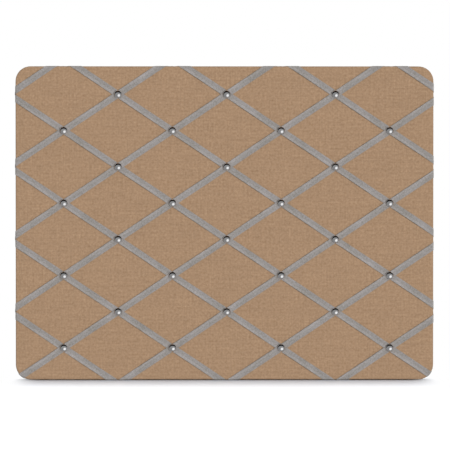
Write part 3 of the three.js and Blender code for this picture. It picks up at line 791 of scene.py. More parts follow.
# Ribbons
ROLL_SLACK_AT, ROLL_SLACK_OVER = 0.26, 0.1  # shares of the way from one stud up to the next
ROLL_SLACK = 0.6  # share of its height that the roll loses there
ROLL_KEEPS = 0.2  # share that it keeps at the very edge
RIDGE_AT, RIDGE_OVER = 0.19, 0.09  # shares of the way from one stud up to the next
RIDGE_RISE, RIDGE_FALL, RIDGE_END = 0.0018, 0.0028, 0.0046  # widths, and where it ends from the right edge
TOP_SHARES = np.concatenate([[-1.0, -0.95], np.linspace(-0.84, 0.98, 21), [1.0]])  # in half widths
LOW_SHARES = np.linspace(1.0, -1.0, 13)
SCALLOP = 0.00006  # how far the ribs stand out of the edges
SCALLOPED_SHARE = 0.9  # points further out than this are on an edge
RIB_FADE = 8  # how suddenly the ribs flatten towards the edges
FLAT_AT_CROSSING, RISES_OVER = 0.3, 2.5  # half widths, from the ribbon that crosses
CLIMB_ROOM = 0.0002  # at the foot of a climb
FLAT_AT_EDGE = 0.006  # the roll flattens this close to the board's edge
FIRST_SEED = 100
BEND_LENGTHS = (0.12, 0.2)  # least and most, of a ribbon's slow bends
FALLING_SHIFT = 20.0  # how far the falling ribbons' pattern lies from the rising ones'
RibbonEnd = namedtuple("RibbonEnd", "sign slope drift exits tuck reach")


def hump(x, middle, width):
    return np.exp(-(((x - middle) / width) ** 2))


def ribbon_section(t, upward, settings):
    """How far a ribbon stands up at t from its middle, towards its left edge, and at a share of the way
    from one stud up to the next. It rolls up along its left edge, and slackens a quarter of the way up."""
    half = settings.width / 2
    inward = half - t
    climbs = smooth_step((settings.roll_width + settings.roll_edge - inward) / settings.roll_width)
    turns_down = smooth_step(ROLL_KEEPS + (1 - ROLL_KEEPS) * inward / settings.roll_edge)
    taut = 1 - ROLL_SLACK * hump(upward, ROLL_SLACK_AT, ROLL_SLACK_OVER)
    ridge = smooth_step((half + t) / RIDGE_RISE) * smooth_step((RIDGE_END - half - t) / RIDGE_FALL)
    slack = hump(upward, RIDGE_AT, RIDGE_OVER)
    return settings.roll * climbs * turns_down * taut + settings.ridge * ridge * slack


def ribbon_ends(edge, start, way, t, tuck_length):
    """Both ends of a ribbon: how it meets the edge, where its points leave the face, and its tuck"""
    across = np.array([-way[1], way[0]])
    ends = []
    for sign in (1.0, -1.0):
        run, middle = edge.leaves(start, way * sign)
        _, outward = edge.rim(np.array(middle))
        along = np.array([-outward[1], outward[0]])
        slope = way @ outward * sign
        drift = way @ along * sign / slope
        exits = np.array([edge.leaves(start + across * u, way * sign) for u in t])
        _, inward = edge.rim(np.array(middle + drift * edge.full))
        tuck = np.array([-inward[1], inward[0]]) * drift - inward
        ends.append(RibbonEnd(sign, slope, drift, exits, tuck, run + (edge.full + tuck_length) / slope))
    return ends


def ribbon_mesh(line, rising, cloth, settings):
    """One ribbon, laid out flat as (s, t) along and across it, then wrapped round the edge at both ends"""
    edge = Edge(cloth)
    way = np.array([LATTICE_X, LATTICE_Z if rising else -LATTICE_Z])
    way = way / np.linalg.norm(way)
    start = np.array([MIDDLE_X, MIDDLE_Z + line * LATTICE_Z])
    # the flat middle of the line is where it comes nearest the middle of the board
    start = start - way * (start @ way)
    half = settings.width / 2
    left = 1.0 if rising else -1.0
    top_t, low_t = TOP_SHARES * half, LOW_SHARES * half
    if not rising:
        top_t, low_t = -top_t[::-1], -low_t[::-1]
    t = np.concatenate([top_t, low_t])
    on_top = np.arange(len(t)) < len(top_t)
    ends = ribbon_ends(edge, start, way, t, settings.tuck)
    rib_rows = 2 * round((ends[0].reach + ends[1].reach) / settings.rib_pitch)
    s = np.linspace(-ends[1].reach, ends[0].reach, rib_rows + 1)[:, None]
    crest = np.where(np.arange(rib_rows + 1) % 2 == 0, 1.0, -1.0)[:, None]
    draw = np.random.default_rng(FIRST_SEED + line * 2 + int(rising))
    phase, wave = draw.uniform(0, 2 * math.pi), draw.uniform(*BEND_LENGTHS)
    stray = settings.wander * np.sin(s * 2 * math.pi / wave + phase)
    scalloped = np.where(np.abs(t) > SCALLOPED_SHARE * half, np.sign(t), 0.0)
    t_row = t[None, :] + SCALLOP * crest * scalloped[None, :] + stray

    at = start + s[..., None] * way + t_row[..., None] * np.array([-way[1], way[0]])
    lift = np.full(at.shape[:2], LAY_GAP)
    other = line_distance(at[..., 0], at[..., 1], not rising)
    clear_of_studs = smooth_step((other - FLAT_AT_CROSSING * half) / (RISES_OVER * half))
    if rising:
        climb = 1 - smooth_step((other - half - CLIMB_ROOM) / settings.ramp)
        lift = lift + (settings.thickness + LAY_GAP) * climb
    from_ends = [(end.exits[None, :, 0] - s * end.sign) / FLAT_AT_EDGE for end in ends]
    on_face = smooth_step(np.minimum(*from_ends))
    upward = np.mod((at[..., 0] - MIDDLE_X) / LATTICE_X * left, 1.0)
    lift = lift + ribbon_section(left * t, upward, settings) * on_face * clear_of_studs
    ribs = settings.rib_height * crest * (1 - (np.abs(t) / half)[None, :] ** RIB_FADE)
    lift = lift + np.where(on_top[None, :], settings.thickness + ribs, 0.0)

    x, y, z = at[..., 0].copy(), FRONT_Y - lift, at[..., 1].copy()
    for end in ends:
        run = (s * end.sign - end.exits[None, :, 0]) * end.slope
        wrapped = run > 0
        held = np.clip(run, 0, edge.full)
        point, outward = edge.rim(end.exits[None, :, 1] + end.drift * held)
        out, back, faces_out, faces_back = edge.section(held)
        place = point + outward * (out + faces_out * lift)[..., None]
        place = place + end.tuck * np.clip(run - edge.full, 0, None)[..., None]
        x = np.where(wrapped, place[..., 0], x)
        z = np.where(wrapped, place[..., 1], z)
        y = np.where(wrapped, FRONT_Y + back + faces_back * lift, y)

    verts, faces = tube(np.stack([x, y, CENTRE_Z + z], -1))
    # each ribbon has its own stretch of the pattern
    own = s + line + (0.0 if rising else FALLING_SHIFT)
    uv = np.stack([own + 0 * t_row, left * (t_row - stray)], -1).reshape(-1, 2)
    mesh = turn_faces_out(mesh_of(verts, faces, uv, sharp_degrees=50.0))
    # crest or hollow of each rib row, for the painted light and shade on the ribs
    set_values(mesh, "rib", np.repeat(crest, len(t)))
    return mesh


# Geometry Nodes for what repeats
def wire_spread(sheet, given):
    shape = sheet.add("GeometryNodeObjectInfo", {"Object": given["Shape"]}, transform_space="ORIGINAL")
    turn = sheet.add("GeometryNodeInputNamedAttribute", {"Name": "turn"}, data_type="FLOAT")
    slant = sheet.add("FunctionNodeRandomValue", {"Seed": given["Seed"]}, data_type="FLOAT")
    low, high = [s for s in slant.inputs if s.name in ("Min", "Max") and s.type == "VALUE"]
    sheet.put(low, sheet.math("MULTIPLY", given["Slant"], -1.0))
    sheet.put(high, given["Slant"])
    drawn = [s for s in slant.outputs if s.type == "VALUE"][0]
    angle = sheet.math("ADD", turn.outputs["Attribute"], drawn)
    values = {"Points": given["Points"], "Instance": shape.outputs["Geometry"]}
    values["Rotation"] = sheet.joined(0.0, angle, 0.0)
    values["Scale"] = sheet.joined(given["Size"], given["Size"], given["Size"])
    set_out = sheet.add("GeometryNodeInstanceOnPoints", values)
    real = sheet.add("GeometryNodeRealizeInstances", {"Geometry": set_out.outputs[0]})
    values = {"Geometry": real.outputs[0], "Material": given["Finish"]}
    return {"Mesh": sheet.add("GeometryNodeSetMaterial", values).outputs[0]}


def spread_tree():
    """One shape set on every point, turned about the board's depth, then made real"""
    inputs = {"Points": "Geometry", "Shape": "Object", "Size": "Float", "Slant": "Float"}
    inputs.update({"Seed": "Int", "Finish": "Material"})
    return node_group("spread_on_points", "GeometryNodeTree", inputs, {"Mesh": "Geometry"}, wire_spread)


def finished_mesh(holder, *helpers):
    """The mesh that an object's modifiers make. The object and its helpers are removed."""
    depsgraph = bpy.context.evaluated_depsgraph_get()
    mesh = bpy.data.meshes.new_from_object(holder.evaluated_get(depsgraph))
    holder.modifiers.clear()
    for used in (holder, *helpers):
        bpy.data.objects.remove(used)
    return mesh


def spread(places, turns, shape_mesh, slant, seed, material):
    """The mesh of one shape on many places, made by the tree above"""
    shape = linked("shape", shape_mesh)
    points = bpy.data.meshes.new("points")
    points.from_pydata([tuple(p) for p in places], [], [])
    set_values(points, "turn", turns)
    holder = linked("holder", points)
    modifier = holder.modifiers.new("spread", "NODES")
    modifier.node_group = spread_tree()
    given = {"Shape": shape, "Size": 1.0, "Slant": slant, "Seed": seed, "Finish": material}
    for item in modifier.node_group.interface.items_tree:
        if item.name in given:
            modifier[item.identifier] = given[item.name]
    return finished_mesh(holder, shape)


DOME_POINTS, STUD_SIDES = 13, 36
RIM_INSETS = (0.00003, 0.00012, 0.0003, 0.0005, 0.00066)  # of the rolled rim, from the edge of the head in
RIM_HEIGHTS = (-0.00032, -0.0001, 0.00004, 0.00006, -0.00006)  # the y of the same points
HOLLOW_WALL = 0.0009  # how far in the hollow starts
HOLLOW_DEPTHS = (0.0006, 0.0013, 0.0015)  # at its wall, half way in and at the nail
SHANK_FILLET, SHANK_POINT = 0.0003, 0.002


def stud_shape(settings):
    """A domed nail with a rolled rim and a hollow underside. Its seat is at y 0 and its dome towards -Y."""
    radius, shank = settings.diameter / 2, settings.shank / 2
    crown = settings.height - settings.rim
    sphere = (radius**2 + crown**2) / (2 * crown)
    widest = math.asin(radius / sphere) - QUARTER_TURN
    profile = arc((0.0, sphere - settings.height), sphere, -QUARTER_TURN, widest, DOME_POINTS)
    profile += [(radius - inset, y) for inset, y in zip(RIM_INSETS, RIM_HEIGHTS)]
    inside = (radius - HOLLOW_WALL, radius / 2, shank + SHANK_FILLET)
    profile += [(r, -depth) for r, depth in zip(inside, HOLLOW_DEPTHS)]
    profile.append((shank, SHANK_FILLET - HOLLOW_DEPTHS[-1]))
    profile += [(shank, settings.shank_length - SHANK_POINT), (0.0, settings.shank_length)]
    verts, faces = lathe(profile, STUD_SIDES, (0.0, 0.0, 0.0))
    return turn_faces_out(mesh_of(verts, faces, sharp_degrees=70.0))


STAPLE_BEND, STAPLE_BEND_POINTS = 0.0009, 4
STAPLE_FLAT = 0.00026  # half the wire's thickness


def staple_shape(settings):
    """A staple with its crown along X at y 0 and its legs driven towards -Y"""
    half = settings.staple_crown / 2
    way = [(-half, -settings.staple_leg, 0.0)]
    for angle in np.linspace(0, QUARTER_TURN, STAPLE_BEND_POINTS):
        x, y = STAPLE_BEND * (1 - math.cos(angle)) - half, STAPLE_BEND * (math.sin(angle) - 1)
        way.append((x, y, angle))
    way += [(-x, y, math.pi - angle) for x, y, angle in reversed(way)]
    path = []
    for x, y, angle in way:
        side = Vector((-math.cos(angle), math.sin(angle), 0.0))
        path.append((Vector((x, y, 0.0)), side, Vector((0.0, 0.0, 1.0))))
    wide, flat = settings.staple_wire / 2, STAPLE_FLAT
    verts, faces = wire(path, [(-flat, -wide), (flat, -wide), (flat, wide), (-flat, wide)])
    return turn_faces_out(mesh_of(verts, faces, sharp_degrees=35.0))


# Hangers and bumpers
RING_SIDES, BEND_POINTS, BOW_POINTS = 16, 9, 17


def ring_path(settings):
    """The bent wire's centre line in the hanger's own x and z, from one butt end to the other"""
    half = (settings.inside_width + settings.wire) / 2
    bend = settings.bend
    points = [(0.0, settings.butt_gap / 2), (0.0, (half - bend) / 2)]
    for a in np.linspace(0, QUARTER_TURN, BEND_POINTS):
        points.append((bend * (1 - math.cos(a)), half - bend + bend * math.sin(a)))
    bow = bend + settings.side
    for a in np.linspace(0, QUARTER_TURN, BOW_POINTS):
        points.append((bow + half * math.sin(a), half * math.cos(a)))
    return points + [(x, -z) for x, z in reversed(points[:-1])]


def ring_mesh(pivot, facing, settings):
    points = ring_path(settings)
    path = []
    for k, (x, z) in enumerate(points):
        before, after = points[max(k - 1, 0)], points[min(k + 1, len(points) - 1)]
        along = Vector((after[0] - before[0], 0.0, after[1] - before[1])).normalized()
        place = Vector((x * facing, 0.0, z)) + pivot
        path.append((place, Vector((along.z * facing, 0.0, -along.x)), Vector((0.0, 1.0, 0.0))))
    verts, faces = wire(path, arc((0.0, 0.0), settings.wire / 2, 0.0, 2 * math.pi, RING_SIDES + 1)[:-1])
    return turn_faces_out(mesh_of(verts, faces, sharp_degrees=50.0))


STRAP_STEPS, LOOP_STEPS, STRAP_COLUMNS = 16, 24, 9
SETTLE_RATE = 6  # how soon the upper layer lies flat on the under layer
STRAP_EDGE = 0.7  # of the strip's thickness


def strap_mesh(pivot, facing, settings):
    """A strip bent round the wire, with its two ends pressed flat against each other and rounded off"""
    inner = settings.wire / 2 + settings.play
    outer = inner + settings.strap_thickness
    reach, half_t = settings.strap_length, settings.strap_thickness / 2
    top = 2 * settings.strap_thickness - outer
    mid = (inner + outer) / 2
    flattens = math.pi - math.asin(top / outer)
    # centre line of the strip, and the way it faces: the under layer, the loop and the upper layer
    way = []
    for k in range(STRAP_STEPS):
        way.append((-reach * math.cos(QUARTER_TURN * k / STRAP_STEPS), half_t - outer, 0.0, -1.0))
    for a in np.linspace(-QUARTER_TURN, flattens, LOOP_STEPS + 1):
        way.append((mid * math.cos(a), mid * math.sin(a), math.cos(a), math.sin(a)))
    meet_x, meet_y = way[-1][:2]
    for k in range(1, STRAP_STEPS + 1):
        share = math.sin(QUARTER_TURN * k / STRAP_STEPS)
        settled = min(1.0, share * SETTLE_RATE)
        x, y = meet_x - (reach + meet_x) * share, meet_y + (top - half_t - meet_y) * settled
        way.append((x, y, 0.0, 1.0))
    # each ring of points goes across the under side and back across the upper side
    columns = np.linspace(-1, 1, STRAP_COLUMNS)
    across = np.concatenate([columns, columns[::-1]])
    side = np.repeat([-half_t, half_t], len(columns))
    thinned = np.where(np.abs(across) == 1, STRAP_EDGE, 1.0)
    rounding = settings.strap_round
    rings = []
    for k, (x, y, out, up) in enumerate(way):
        narrow = rounding - math.sqrt(max(0.0, rounding**2 - max(0.0, rounding - reach - x) ** 2))
        edge = side * (STRAP_EDGE if k in (0, len(way) - 1) else thinned)
        ring = [(x + out * edge) * facing, y + up * edge, across * (settings.strap_width / 2 - narrow)]
        rings.append(np.stack(ring, -1))
    verts, faces = tube(np.array(rings) + np.array(pivot))
    return turn_faces_out(mesh_of(verts, faces, sharp_degrees=45.0))


POINT_HALF, POINT_END = 0.0016, 0.003  # from the tip
HEAD_WALL, HEAD_FOOT = 0.0006, 0.0002  # heights of the head's upright side and of its rounded foot
HEAD_FOOT_SHARE = 0.97  # of the head's radius
HEAD_START, HEAD_TOP, HEAD_POINTS = 0.3, 0.96, 6  # shares of a quarter turn, and a count
SCREW_SIDES, SCREW_SHARP, SCREW_MERGE = 40, 35.0, 0.000005
RECESS_REACH, RECESS_WIDTH = 0.62, 0.13  # shares of the head's radius
RECESS_TOP, RECESS_BOTTOM = 1.12, 0.55  # how much the recess grows and shrinks there
RECESS_DEPTHS = (0.0013, 0.0012)
CUTTER_OVER = 0.0005  # how far a cutter stands over the head
CORNERS = ((-1, -1), (1, -1), (1, 1), (-1, 1))
BOX_SIDES = [(0, 1, 2, 3), (4, 5, 6, 7), (0, 1, 5, 4), (1, 2, 6, 5), (2, 3, 7, 6), (3, 0, 4, 7)]


def screw_mesh(node, slant, settings):
    """A pan head with a cross recess, left at a slant, on a plain pointed shank"""
    low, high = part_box(node)
    centre = np.array([(low.x + high.x) / 2, high.y, (low.z + high.z) / 2])
    radius = (high.z - low.z) / 2
    head, shank = settings.screw_head, settings.screw_shank / 2
    tip = low.y - high.y
    profile = [(0.0, tip), (shank / 2, tip + POINT_HALF), (shank, tip + POINT_END), (shank, -head)]
    profile += [(radius * HEAD_FOOT_SHARE, -head), (radius, HEAD_FOOT - head), (radius, HEAD_WALL - head)]
    for angle in np.linspace(HEAD_START, 1.0, HEAD_POINTS) * QUARTER_TURN:
        rise = (head - HEAD_WALL) * math.sin(angle)
        profile.append((radius * math.cos(angle * HEAD_TOP), HEAD_WALL - head + rise))
    profile.append((0.0, 0.0))
    verts, faces = lathe(profile, SCREW_SIDES, centre)
    body = linked("screw", turn_faces_out(mesh_of(verts, faces, sharp_degrees=SCREW_SHARP)))
    cutters = []
    for angle, depth in zip((slant, slant + QUARTER_TURN), RECESS_DEPTHS):
        along = np.array([math.cos(angle), 0.0, math.sin(angle)]) * (radius * RECESS_REACH)
        aside = np.array([-math.sin(angle), 0.0, math.cos(angle)]) * (radius * RECESS_WIDTH)
        box = []
        for y, grow in ((CUTTER_OVER, RECESS_TOP), (-depth, RECESS_BOTTOM)):
            box += [centre + (0.0, y, 0.0) + (along * u + aside * v) * grow for u, v in CORNERS]
        cutter = linked("slot", turn_faces_out(mesh_of(box, BOX_SIDES)))
        cut = body.modifiers.new("recess", "BOOLEAN")
        cut.operation = "DIFFERENCE"
        cut.solver = "EXACT"
        cut.object = cutter
        cutters.append(cutter)
    mesh = turn_faces_out(finished_mesh(body, *cutters), SCREW_MERGE)
    mesh.set_sharp_from_angle(angle=math.radians(SCREW_SHARP))
    return mesh


FOOT_CHAMFER, FOOT_END, FOOT_STEP = 0.0003, 0.0007, 0.0001
SIDE_SHARES = (0.3, 0.55, 0.78)  # points up the side
FACE_FILLET, FILLET_START, FILLET_POINTS = 0.0007, 0.2, 5  # radius, share of a quarter turn, and a count
BUMPER_SIDES = 48
DIMPLE = ((0.45, 0.0), (0.4, 0.0002), (0.0, 0.0004))  # shares of the face's radius, and depths


def bumper_mesh(node, settings):
    low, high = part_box(node)
    centre = ((low.x + high.x) / 2, low.y, (low.z + high.z) / 2)
    base, face = (high.z - low.z) / 2, settings.bumper_face / 2
    tall = high.y - low.y
    profile = [(0.0, 0.0), (base - FOOT_CHAMFER, 0.0), (base, FOOT_CHAMFER), (base - FOOT_STEP, FOOT_END)]
    profile += [(base + (face - base) * share, tall * share) for share in SIDE_SHARES]
    middle = (face - FACE_FILLET, tall - FACE_FILLET)
    profile += arc(middle, FACE_FILLET, FILLET_START * QUARTER_TURN, QUARTER_TURN, FILLET_POINTS)
    profile += [(face * share, tall - depth) for share, depth in DIMPLE]
    verts, faces = lathe(profile, BUMPER_SIDES, centre)
    return turn_faces_out(mesh_of(verts, faces, sharp_degrees=50.0))


# Operators
WADDING_INSET, WADDING_STEP, WADDING_BULGE = 0.0005, 0.008, 0.0004
WADDING_DEPTH = 0.00005  # how far its face lies behind the frame's
LUMP_HEIGHT, LUMP_SIZE, LUMP_SEED = 0.00004, 0.05, 3
SAG_SIZE, SAG_SEED = 0.12, 8
WRINKLE_SIZE, WRINKLE_SEED = 0.03, 21
BACKING_BULGE = 0.0001
STAPLE_STANDS, STAPLE_END = 0.0003, 0.02  # out of the backing, and from a row's end to its last staple
STAPLE_SLANT = 0.07  # radians
SCREW_TURN, SCREW_TURN_APART = 0.6, 0.4  # radians: the mean of both sides, and how far each is from it


class MEMO_OT_core(bpy.types.Operator):
    """Gives the core board its raw fibreboard finish"""

    bl_idname = "memo_board.core"
    bl_label = "Core board"

    def execute(self, context):
        tint = context.scene.memo_cloth.core_tint
        finish = matt_material(
            "raw_fibreboard", tint, roughness=0.9, scale=260.0, mottling=0.5, depth=0.0003
        )
        node = frame["nodes"]["core_board"]
        node.data.materials.clear()
        node.data.materials.append(finish)
        return {"FINISHED"}


class MEMO_OT_wadding(bpy.types.Operator):
    """Lays the wadding between the core board and the cloth"""

    bl_idname = "memo_board.wadding"
    bl_label = "Wadding"

    def execute(self, context):
        cloth = context.scene.memo_cloth
        low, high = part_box("wadding_sheet")

        def face(flat):
            return low.y + WADDING_DEPTH + LUMP_HEIGHT * waves(flat, LUMP_SIZE, LUMP_SEED)

        mesh = closed_sheet(
            (high.x - low.x) / 2 - WADDING_INSET,
            (high.z - low.z) / 2 - WADDING_INSET,
            cloth.corner_radius,
            WADDING_STEP,
            face,
            lambda flat: np.full(len(flat), high.y),
            WADDING_BULGE,
        )
        finish = matt_material(
            "needled_wadding", cloth.wadding_tint, roughness=0.95, scale=300.0, mottling=0.2, depth=0.0003
        )
        piece = add_piece("wadding_layer", mesh, finish, "board", ["wadding_sheet"])
        return {"FINISHED"}


class MEMO_OT_cloth(bpy.types.Operator):
    """Stretches the cloth over the face and the edges and turns it in at the back"""

    bl_idname = "memo_board.cloth"
    bl_label = "Cloth cover"

    def execute(self, context):
        cloth = context.scene.memo_cloth
        mesh = cloth_mesh(cloth, context.scene.memo_ribbon.width)
        piece = add_piece("linen_cover", mesh, cloth_material(cloth), "board", ["cloth_cover"])
        edge = Edge(cloth)
        return {"FINISHED"}


class MEMO_OT_ribbons(bpy.types.Operator):
    """Lays the falling ribbons, and the rising ribbons over them"""

    bl_idname = "memo_board.ribbons"
    bl_label = "Ribbons"

    def execute(self, context):
        ribbon, cloth = context.scene.memo_ribbon, context.scene.memo_cloth
        finish = ribbon_material(ribbon)
        for way in ("falling", "rising"):
            for k in range(1, RIBBONS_EACH_WAY + 1):
                mesh = ribbon_mesh(LOWEST_LINE + 2 * (k - 1), way == "rising", cloth, ribbon)
                name, node = f"grosgrain_{way}_{k}", f"{way}_ribbon_{k}"
                add_piece(name, mesh, finish, "board", [node])
        return {"FINISHED"}


class MEMO_OT_studs(bpy.types.Operator):
    """Drives a domed nail through each crossing"""

    bl_idname = "memo_board.studs"
    bl_label = "Studs"

    def execute(self, context):
        stud = context.scene.memo_stud
        finish = metal_material("bright_nickel", stud.tint, roughness=0.07, smudge=0.06, mottling=0.06)
        seat = STUD_TOP_Y + stud.height
        places = [(x, seat, z) for x, _, z in STUD_PLACES]
        mesh = spread(places, np.zeros(len(places)), stud_shape(stud), math.pi, stud.seed, finish)
        add_piece("nail_heads", mesh, finish, "board", STUD_NODES)
        return {"FINISHED"}


class MEMO_OT_backing(bpy.types.Operator):
    """Covers the hem and the ribbon ends with a black sheet"""

    bl_idname = "memo_board.backing"
    bl_label = "Backing sheet"

    def execute(self, context):
        back = context.scene.memo_back
        half_x, half_z = (BACKING_HIGH.x - BACKING_LOW.x) / 2, (BACKING_HIGH.z - BACKING_LOW.z) / 2

        def front(flat):
            return BACKING_LOW.y + back.ripple * waves(flat, SAG_SIZE, SAG_SEED)

        def behind(flat):
            thickness = BACKING_HIGH.y - BACKING_LOW.y
            return front(flat) + thickness + back.wrinkle * waves(flat, WRINKLE_SIZE, WRINKLE_SEED)

        mesh = closed_sheet(half_x, half_z, back.corner_radius, back.step, front, behind, BACKING_BULGE)
        finish = backing_material(back)
        piece = add_piece("backing_cover", mesh, finish, "board", ["backing_sheet"])
        return {"FINISHED"}


class MEMO_OT_staples(bpy.types.Operator):
    """Staples the backing sheet all round"""

    bl_idname = "memo_board.staples"
    bl_label = "Staples"

    def execute(self, context):
        back = context.scene.memo_back
        half_x = (BACKING_HIGH.x - BACKING_LOW.x) / 2 - back.staple_inset
        half_z = (BACKING_HIGH.z - BACKING_LOW.z) / 2 - back.staple_inset
        seat = BACKING_HIGH.y + STAPLE_STANDS
        places, turns = [], []
        for reach, half, upright in ((half_x, half_z, True), (half_z, half_x, False)):
            last = half - STAPLE_END
            for u in np.linspace(-last, last, round(2 * last / back.staple_spacing) + 1):
                for sign in (-1.0, 1.0):
                    x, z = (sign * reach, u) if upright else (u, sign * reach)
                    places.append((x, seat, CENTRE_Z + z))
                    turns.append(QUARTER_TURN if upright else 0.0)
        tint = context.scene.memo_hanger.tint
        finish = metal_material("staple_wire", tint, roughness=0.3, smudge=0.2, mottling=0.2)
        mesh = spread(places, turns, staple_shape(back), STAPLE_SLANT, back.seed, finish)
        add_piece("backing_staples", mesh, finish, "board")
        return {"FINISHED"}


class MEMO_OT_hangers(bpy.types.Operator):
    """Screws two ring hangers to the back"""

    bl_idname = "memo_board.hangers"
    bl_label = "Ring hangers"

    def execute(self, context):
        hanger = context.scene.memo_hanger
        finish = metal_material("zinc_plating", hanger.tint, roughness=0.32, smudge=0.25, mottling=0.25)
        for side, facing in SIDES:
            body, node = f"{side}_ring", f"{side}_hanger_"
            pivot = PIVOTS[body]
            strap = strap_mesh(pivot, facing, hanger)
            add_piece(f"{side}_folded_strap", strap, finish, "board", [node + "strap"])
            screw = screw_mesh(node + "screw", SCREW_TURN - SCREW_TURN_APART * facing, hanger)
            add_piece(f"{side}_pan_screw", screw, finish, "board", [node + "screw"])
            ring = ring_mesh(pivot, facing, hanger)
            add_piece(f"{side}_wire_ring", ring, finish, body, [node + "ring"])
        return {"FINISHED"}


class MEMO_OT_bumpers(bpy.types.Operator):
    """Sets a rubber bumper in each lower corner of the back"""

    bl_idname = "memo_board.bumpers"
    bl_label = "Bumpers"

    def execute(self, context):
        back = context.scene.memo_back
        finish = matt_material(
            "bumper_rubber", back.rubber_tint, roughness=0.7, scale=700.0, mottling=0.4, depth=0.00005
        )
        for side, _ in SIDES:
            mesh = bumper_mesh(f"{side}_bumper", back)
            add_piece(f"{side}_foot_bumper", mesh, finish, "board", [f"{side}_bumper"])
        return {"FINISHED"}


# Stage
WHITE = (1.0, 1.0, 1.0, 1.0)
KEY_WAY, KEY_WIDTH = (-0.809, 0.588, 0.0), 16.0  # a light's direction, and how wide it looks in degrees
TOP_WAY, TOP_WIDTH = (0.0, -0.0752, -1.0), 10.0
# What bright metal shows of the room. A glow has a direction, the cosines where it starts and is full, and
# a strength.
ROOM_LEVEL = 0.006
WINDOW_GLOW = ((0.35, -0.77, -0.46), 0.78, 0.95, 0.88)
FRONT_GLOW = ((0.05, -0.8, -0.6), -0.03, 0.3, 0.3)
BACK_GLOW = ((0.0, 1.0, 0.25), 0.5, 0.95, 1.0)
FLOOR_REACH = 12.0
LIT_FROM, LIT_TO = 0.0085, 0.013  # where light from below starts and is full, before and behind the board
THIN_FROM, THIN_TO = 0.268, 0.322  # where a painted white glow on the floor starts to thin the board's shadow and where the shadow is gone, along the board


def sun(name, strength, way, width, tint=(1.0, 1.0, 1.0)):
    """A distant light that shines along a direction"""
    data = bpy.data.lights.new(name, "SUN")
    data.energy = strength
    data.color = tint
    data.angle = math.radians(width)
    lamp = linked(name, data)
    lamp.rotation_euler = Vector(way).to_track_quat("-Z", "Y").to_euler()
    return lamp


def seen_directly(sheet):
    """1 for what the camera sees, straight or through something clear, and 1 for what shows in metal"""
    path = sheet.add("ShaderNodeLightPath").outputs
    return sheet.math("MAXIMUM", path["Is Camera Ray"], path["Is Transmission Ray"]), path["Is Glossy Ray"]


def floor_material(tint, passes):
    """A pale floor that takes shadows, and lets some of the even light reach the object from below"""
    material = bpy.data.materials.new("pale_floor")
    sheet = cleared(material)
    direct, _ = seen_directly(sheet)
    at = sheet.axes(sheet.add("ShaderNodeTexCoord").outputs["Object"])
    # no light comes up from close under the board
    away = sheet.ramp(sheet.math("ABSOLUTE", at["Y"]), LIT_FROM, LIT_TO)
    clear = sheet.add("ShaderNodeBsdfTransparent", {"Color": sheet.scaled(tuple(passes), away)}).outputs[0]
    matt = sheet.add("ShaderNodeBsdfDiffuse", {"Color": opaque(tint)}).outputs[0]
    # painted light: the floor glows white towards the board's ends, which thins the shadow there
    thin = sheet.ramp(sheet.math("ABSOLUTE", at["X"]), THIN_FROM, THIN_TO)
    bright = sheet.add("ShaderNodeEmission", {"Color": WHITE}).outputs[0]
    seen = sheet.add("ShaderNodeMixShader", {0: thin, 1: matt, 2: bright}).outputs[0]
    surface = sheet.add("ShaderNodeMixShader", {0: direct, 1: clear, 2: seen}).outputs[0]
    sheet.add("ShaderNodeOutputMaterial", {"Surface": surface})
    return material


def studio_world(sky):
    """Even light for the object, white behind it, and a soft window for bright metal to show"""
    world = bpy.data.worlds.new("studio")
    sheet = cleared(world)
    direct, glossy = seen_directly(sheet)
    way = sheet.add("ShaderNodeTexCoord").outputs["Generated"]

    def glow(towards, start, full, strength):
        facing = sheet.vector_math("DOT_PRODUCT", {0: way, 1: Vector(towards).normalized()})
        return sheet.math("MULTIPLY", sheet.ramp(facing["Value"], start, full), strength)

    front = sheet.math("ADD", glow(*WINDOW_GLOW), glow(*FRONT_GLOW))
    room = sheet.math("ADD", ROOM_LEVEL, sheet.math("MAXIMUM", front, glow(*BACK_GLOW)))
    level = sheet.math("ADD", sheet.math("MULTIPLY", glossy, sheet.math("SUBTRACT", room, sky)), sky)
    level = sheet.math("ADD", sheet.math("MULTIPLY", direct, sheet.math("SUBTRACT", 1.0, level)), level)
    light = sheet.add("ShaderNodeBackground", {"Color": WHITE, "Strength": level})
    sheet.add("ShaderNodeOutputWorld", {"Surface": light.outputs[0]})
    return world


def add_camera(stage):
    data = bpy.data.cameras.new("camera")
    data.lens = stage.focal_pixels / PHOTO_SIDE * data.sensor_width
    camera = linked("camera", data)
    level = math.cos(stage.pitch)
    away = Vector((-level * math.sin(stage.yaw), -level * math.cos(stage.yaw), math.sin(stage.pitch)))
    camera.location = Vector(stage.aim) + away * stage.distance
    camera.rotation_euler = (-away).to_track_quat("-Z", "Y").to_euler()
    return camera


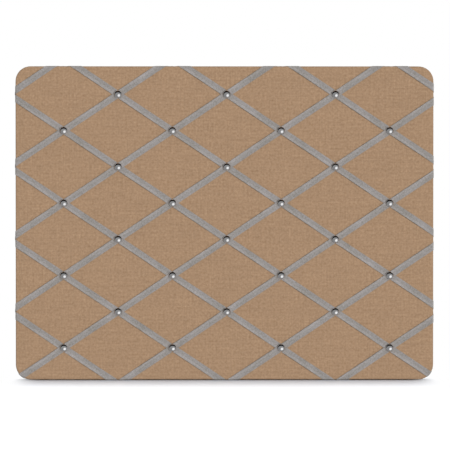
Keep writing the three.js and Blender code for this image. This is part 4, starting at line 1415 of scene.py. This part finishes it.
class MEMO_OT_stage(bpy.types.Operator):
    """Sets the floor, the light and the camera"""

    bl_idname = "memo_board.stage"
    bl_label = "Stage"

    def execute(self, context):
        scene, stage = context.scene, context.scene.memo_stage
        floor = bpy.data.meshes.new("floor")
        floor.from_pydata([(x * FLOOR_REACH, y * FLOOR_REACH, 0) for x, y in CORNERS], [], [(0, 1, 2, 3)])
        floor.materials.append(floor_material(stage.floor_tint, stage.floor_light))
        ground = linked("floor", floor)
        scene.world = studio_world(stage.sky)
        key = sun("key_light", stage.key, KEY_WAY, KEY_WIDTH)
        key.visible_glossy = False
        top = sun("top_light", stage.top, TOP_WAY, TOP_WIDTH, stage.top_tint)
        lit = bpy.data.collections.new("lit_from_above")
        lit.objects.link(ground)
        top.light_linking.receiver_collection = lit
        scene.camera = add_camera(stage)
        scene.view_settings.view_transform = "Standard"
        return {"FINISHED"}


OPERATORS = (
    MEMO_OT_core,
    MEMO_OT_wadding,
    MEMO_OT_cloth,
    MEMO_OT_ribbons,
    MEMO_OT_studs,
    MEMO_OT_backing,
    MEMO_OT_staples,
    MEMO_OT_hangers,
    MEMO_OT_bumpers,
    MEMO_OT_stage,
)


class MEMO_PT_board(bpy.types.Panel):
    """Sizes, colours and pieces of the memo board"""

    bl_idname = "MEMO_PT_board"
    bl_label = "Memo board"
    bl_space_type = "VIEW_3D"
    bl_region_type = "UI"
    bl_category = "Memo board"

    def draw(self, context):
        for operator in OPERATORS:
            self.layout.operator(operator.bl_idname)
        for label, group in SETTINGS:
            box = self.layout.box()
            for key in group.__annotations__:
                box.prop(getattr(context.scene, label), key)


def register():
    for label, group in SETTINGS:
        bpy.utils.register_class(group)
        setattr(bpy.types.Scene, label, PointerProperty(type=group))
    for operator in OPERATORS:
        bpy.utils.register_class(operator)
    bpy.utils.register_class(MEMO_PT_board)


def unregister():
    bpy.utils.unregister_class(MEMO_PT_board)
    for operator in reversed(OPERATORS):
        bpy.utils.unregister_class(operator)
    for label, group in reversed(SETTINGS):
        delattr(bpy.types.Scene, label)
        bpy.utils.unregister_class(group)


def main():
    register()
    bpy.ops.memo_board.core()
    bpy.ops.memo_board.wadding()
    bpy.ops.memo_board.cloth()
    bpy.ops.memo_board.ribbons()
    bpy.ops.memo_board.studs()
    bpy.ops.memo_board.backing()
    bpy.ops.memo_board.staples()
    bpy.ops.memo_board.hangers()
    bpy.ops.memo_board.bumpers()
    bpy.ops.memo_board.stage()


if __name__ == "__main__":
    main()
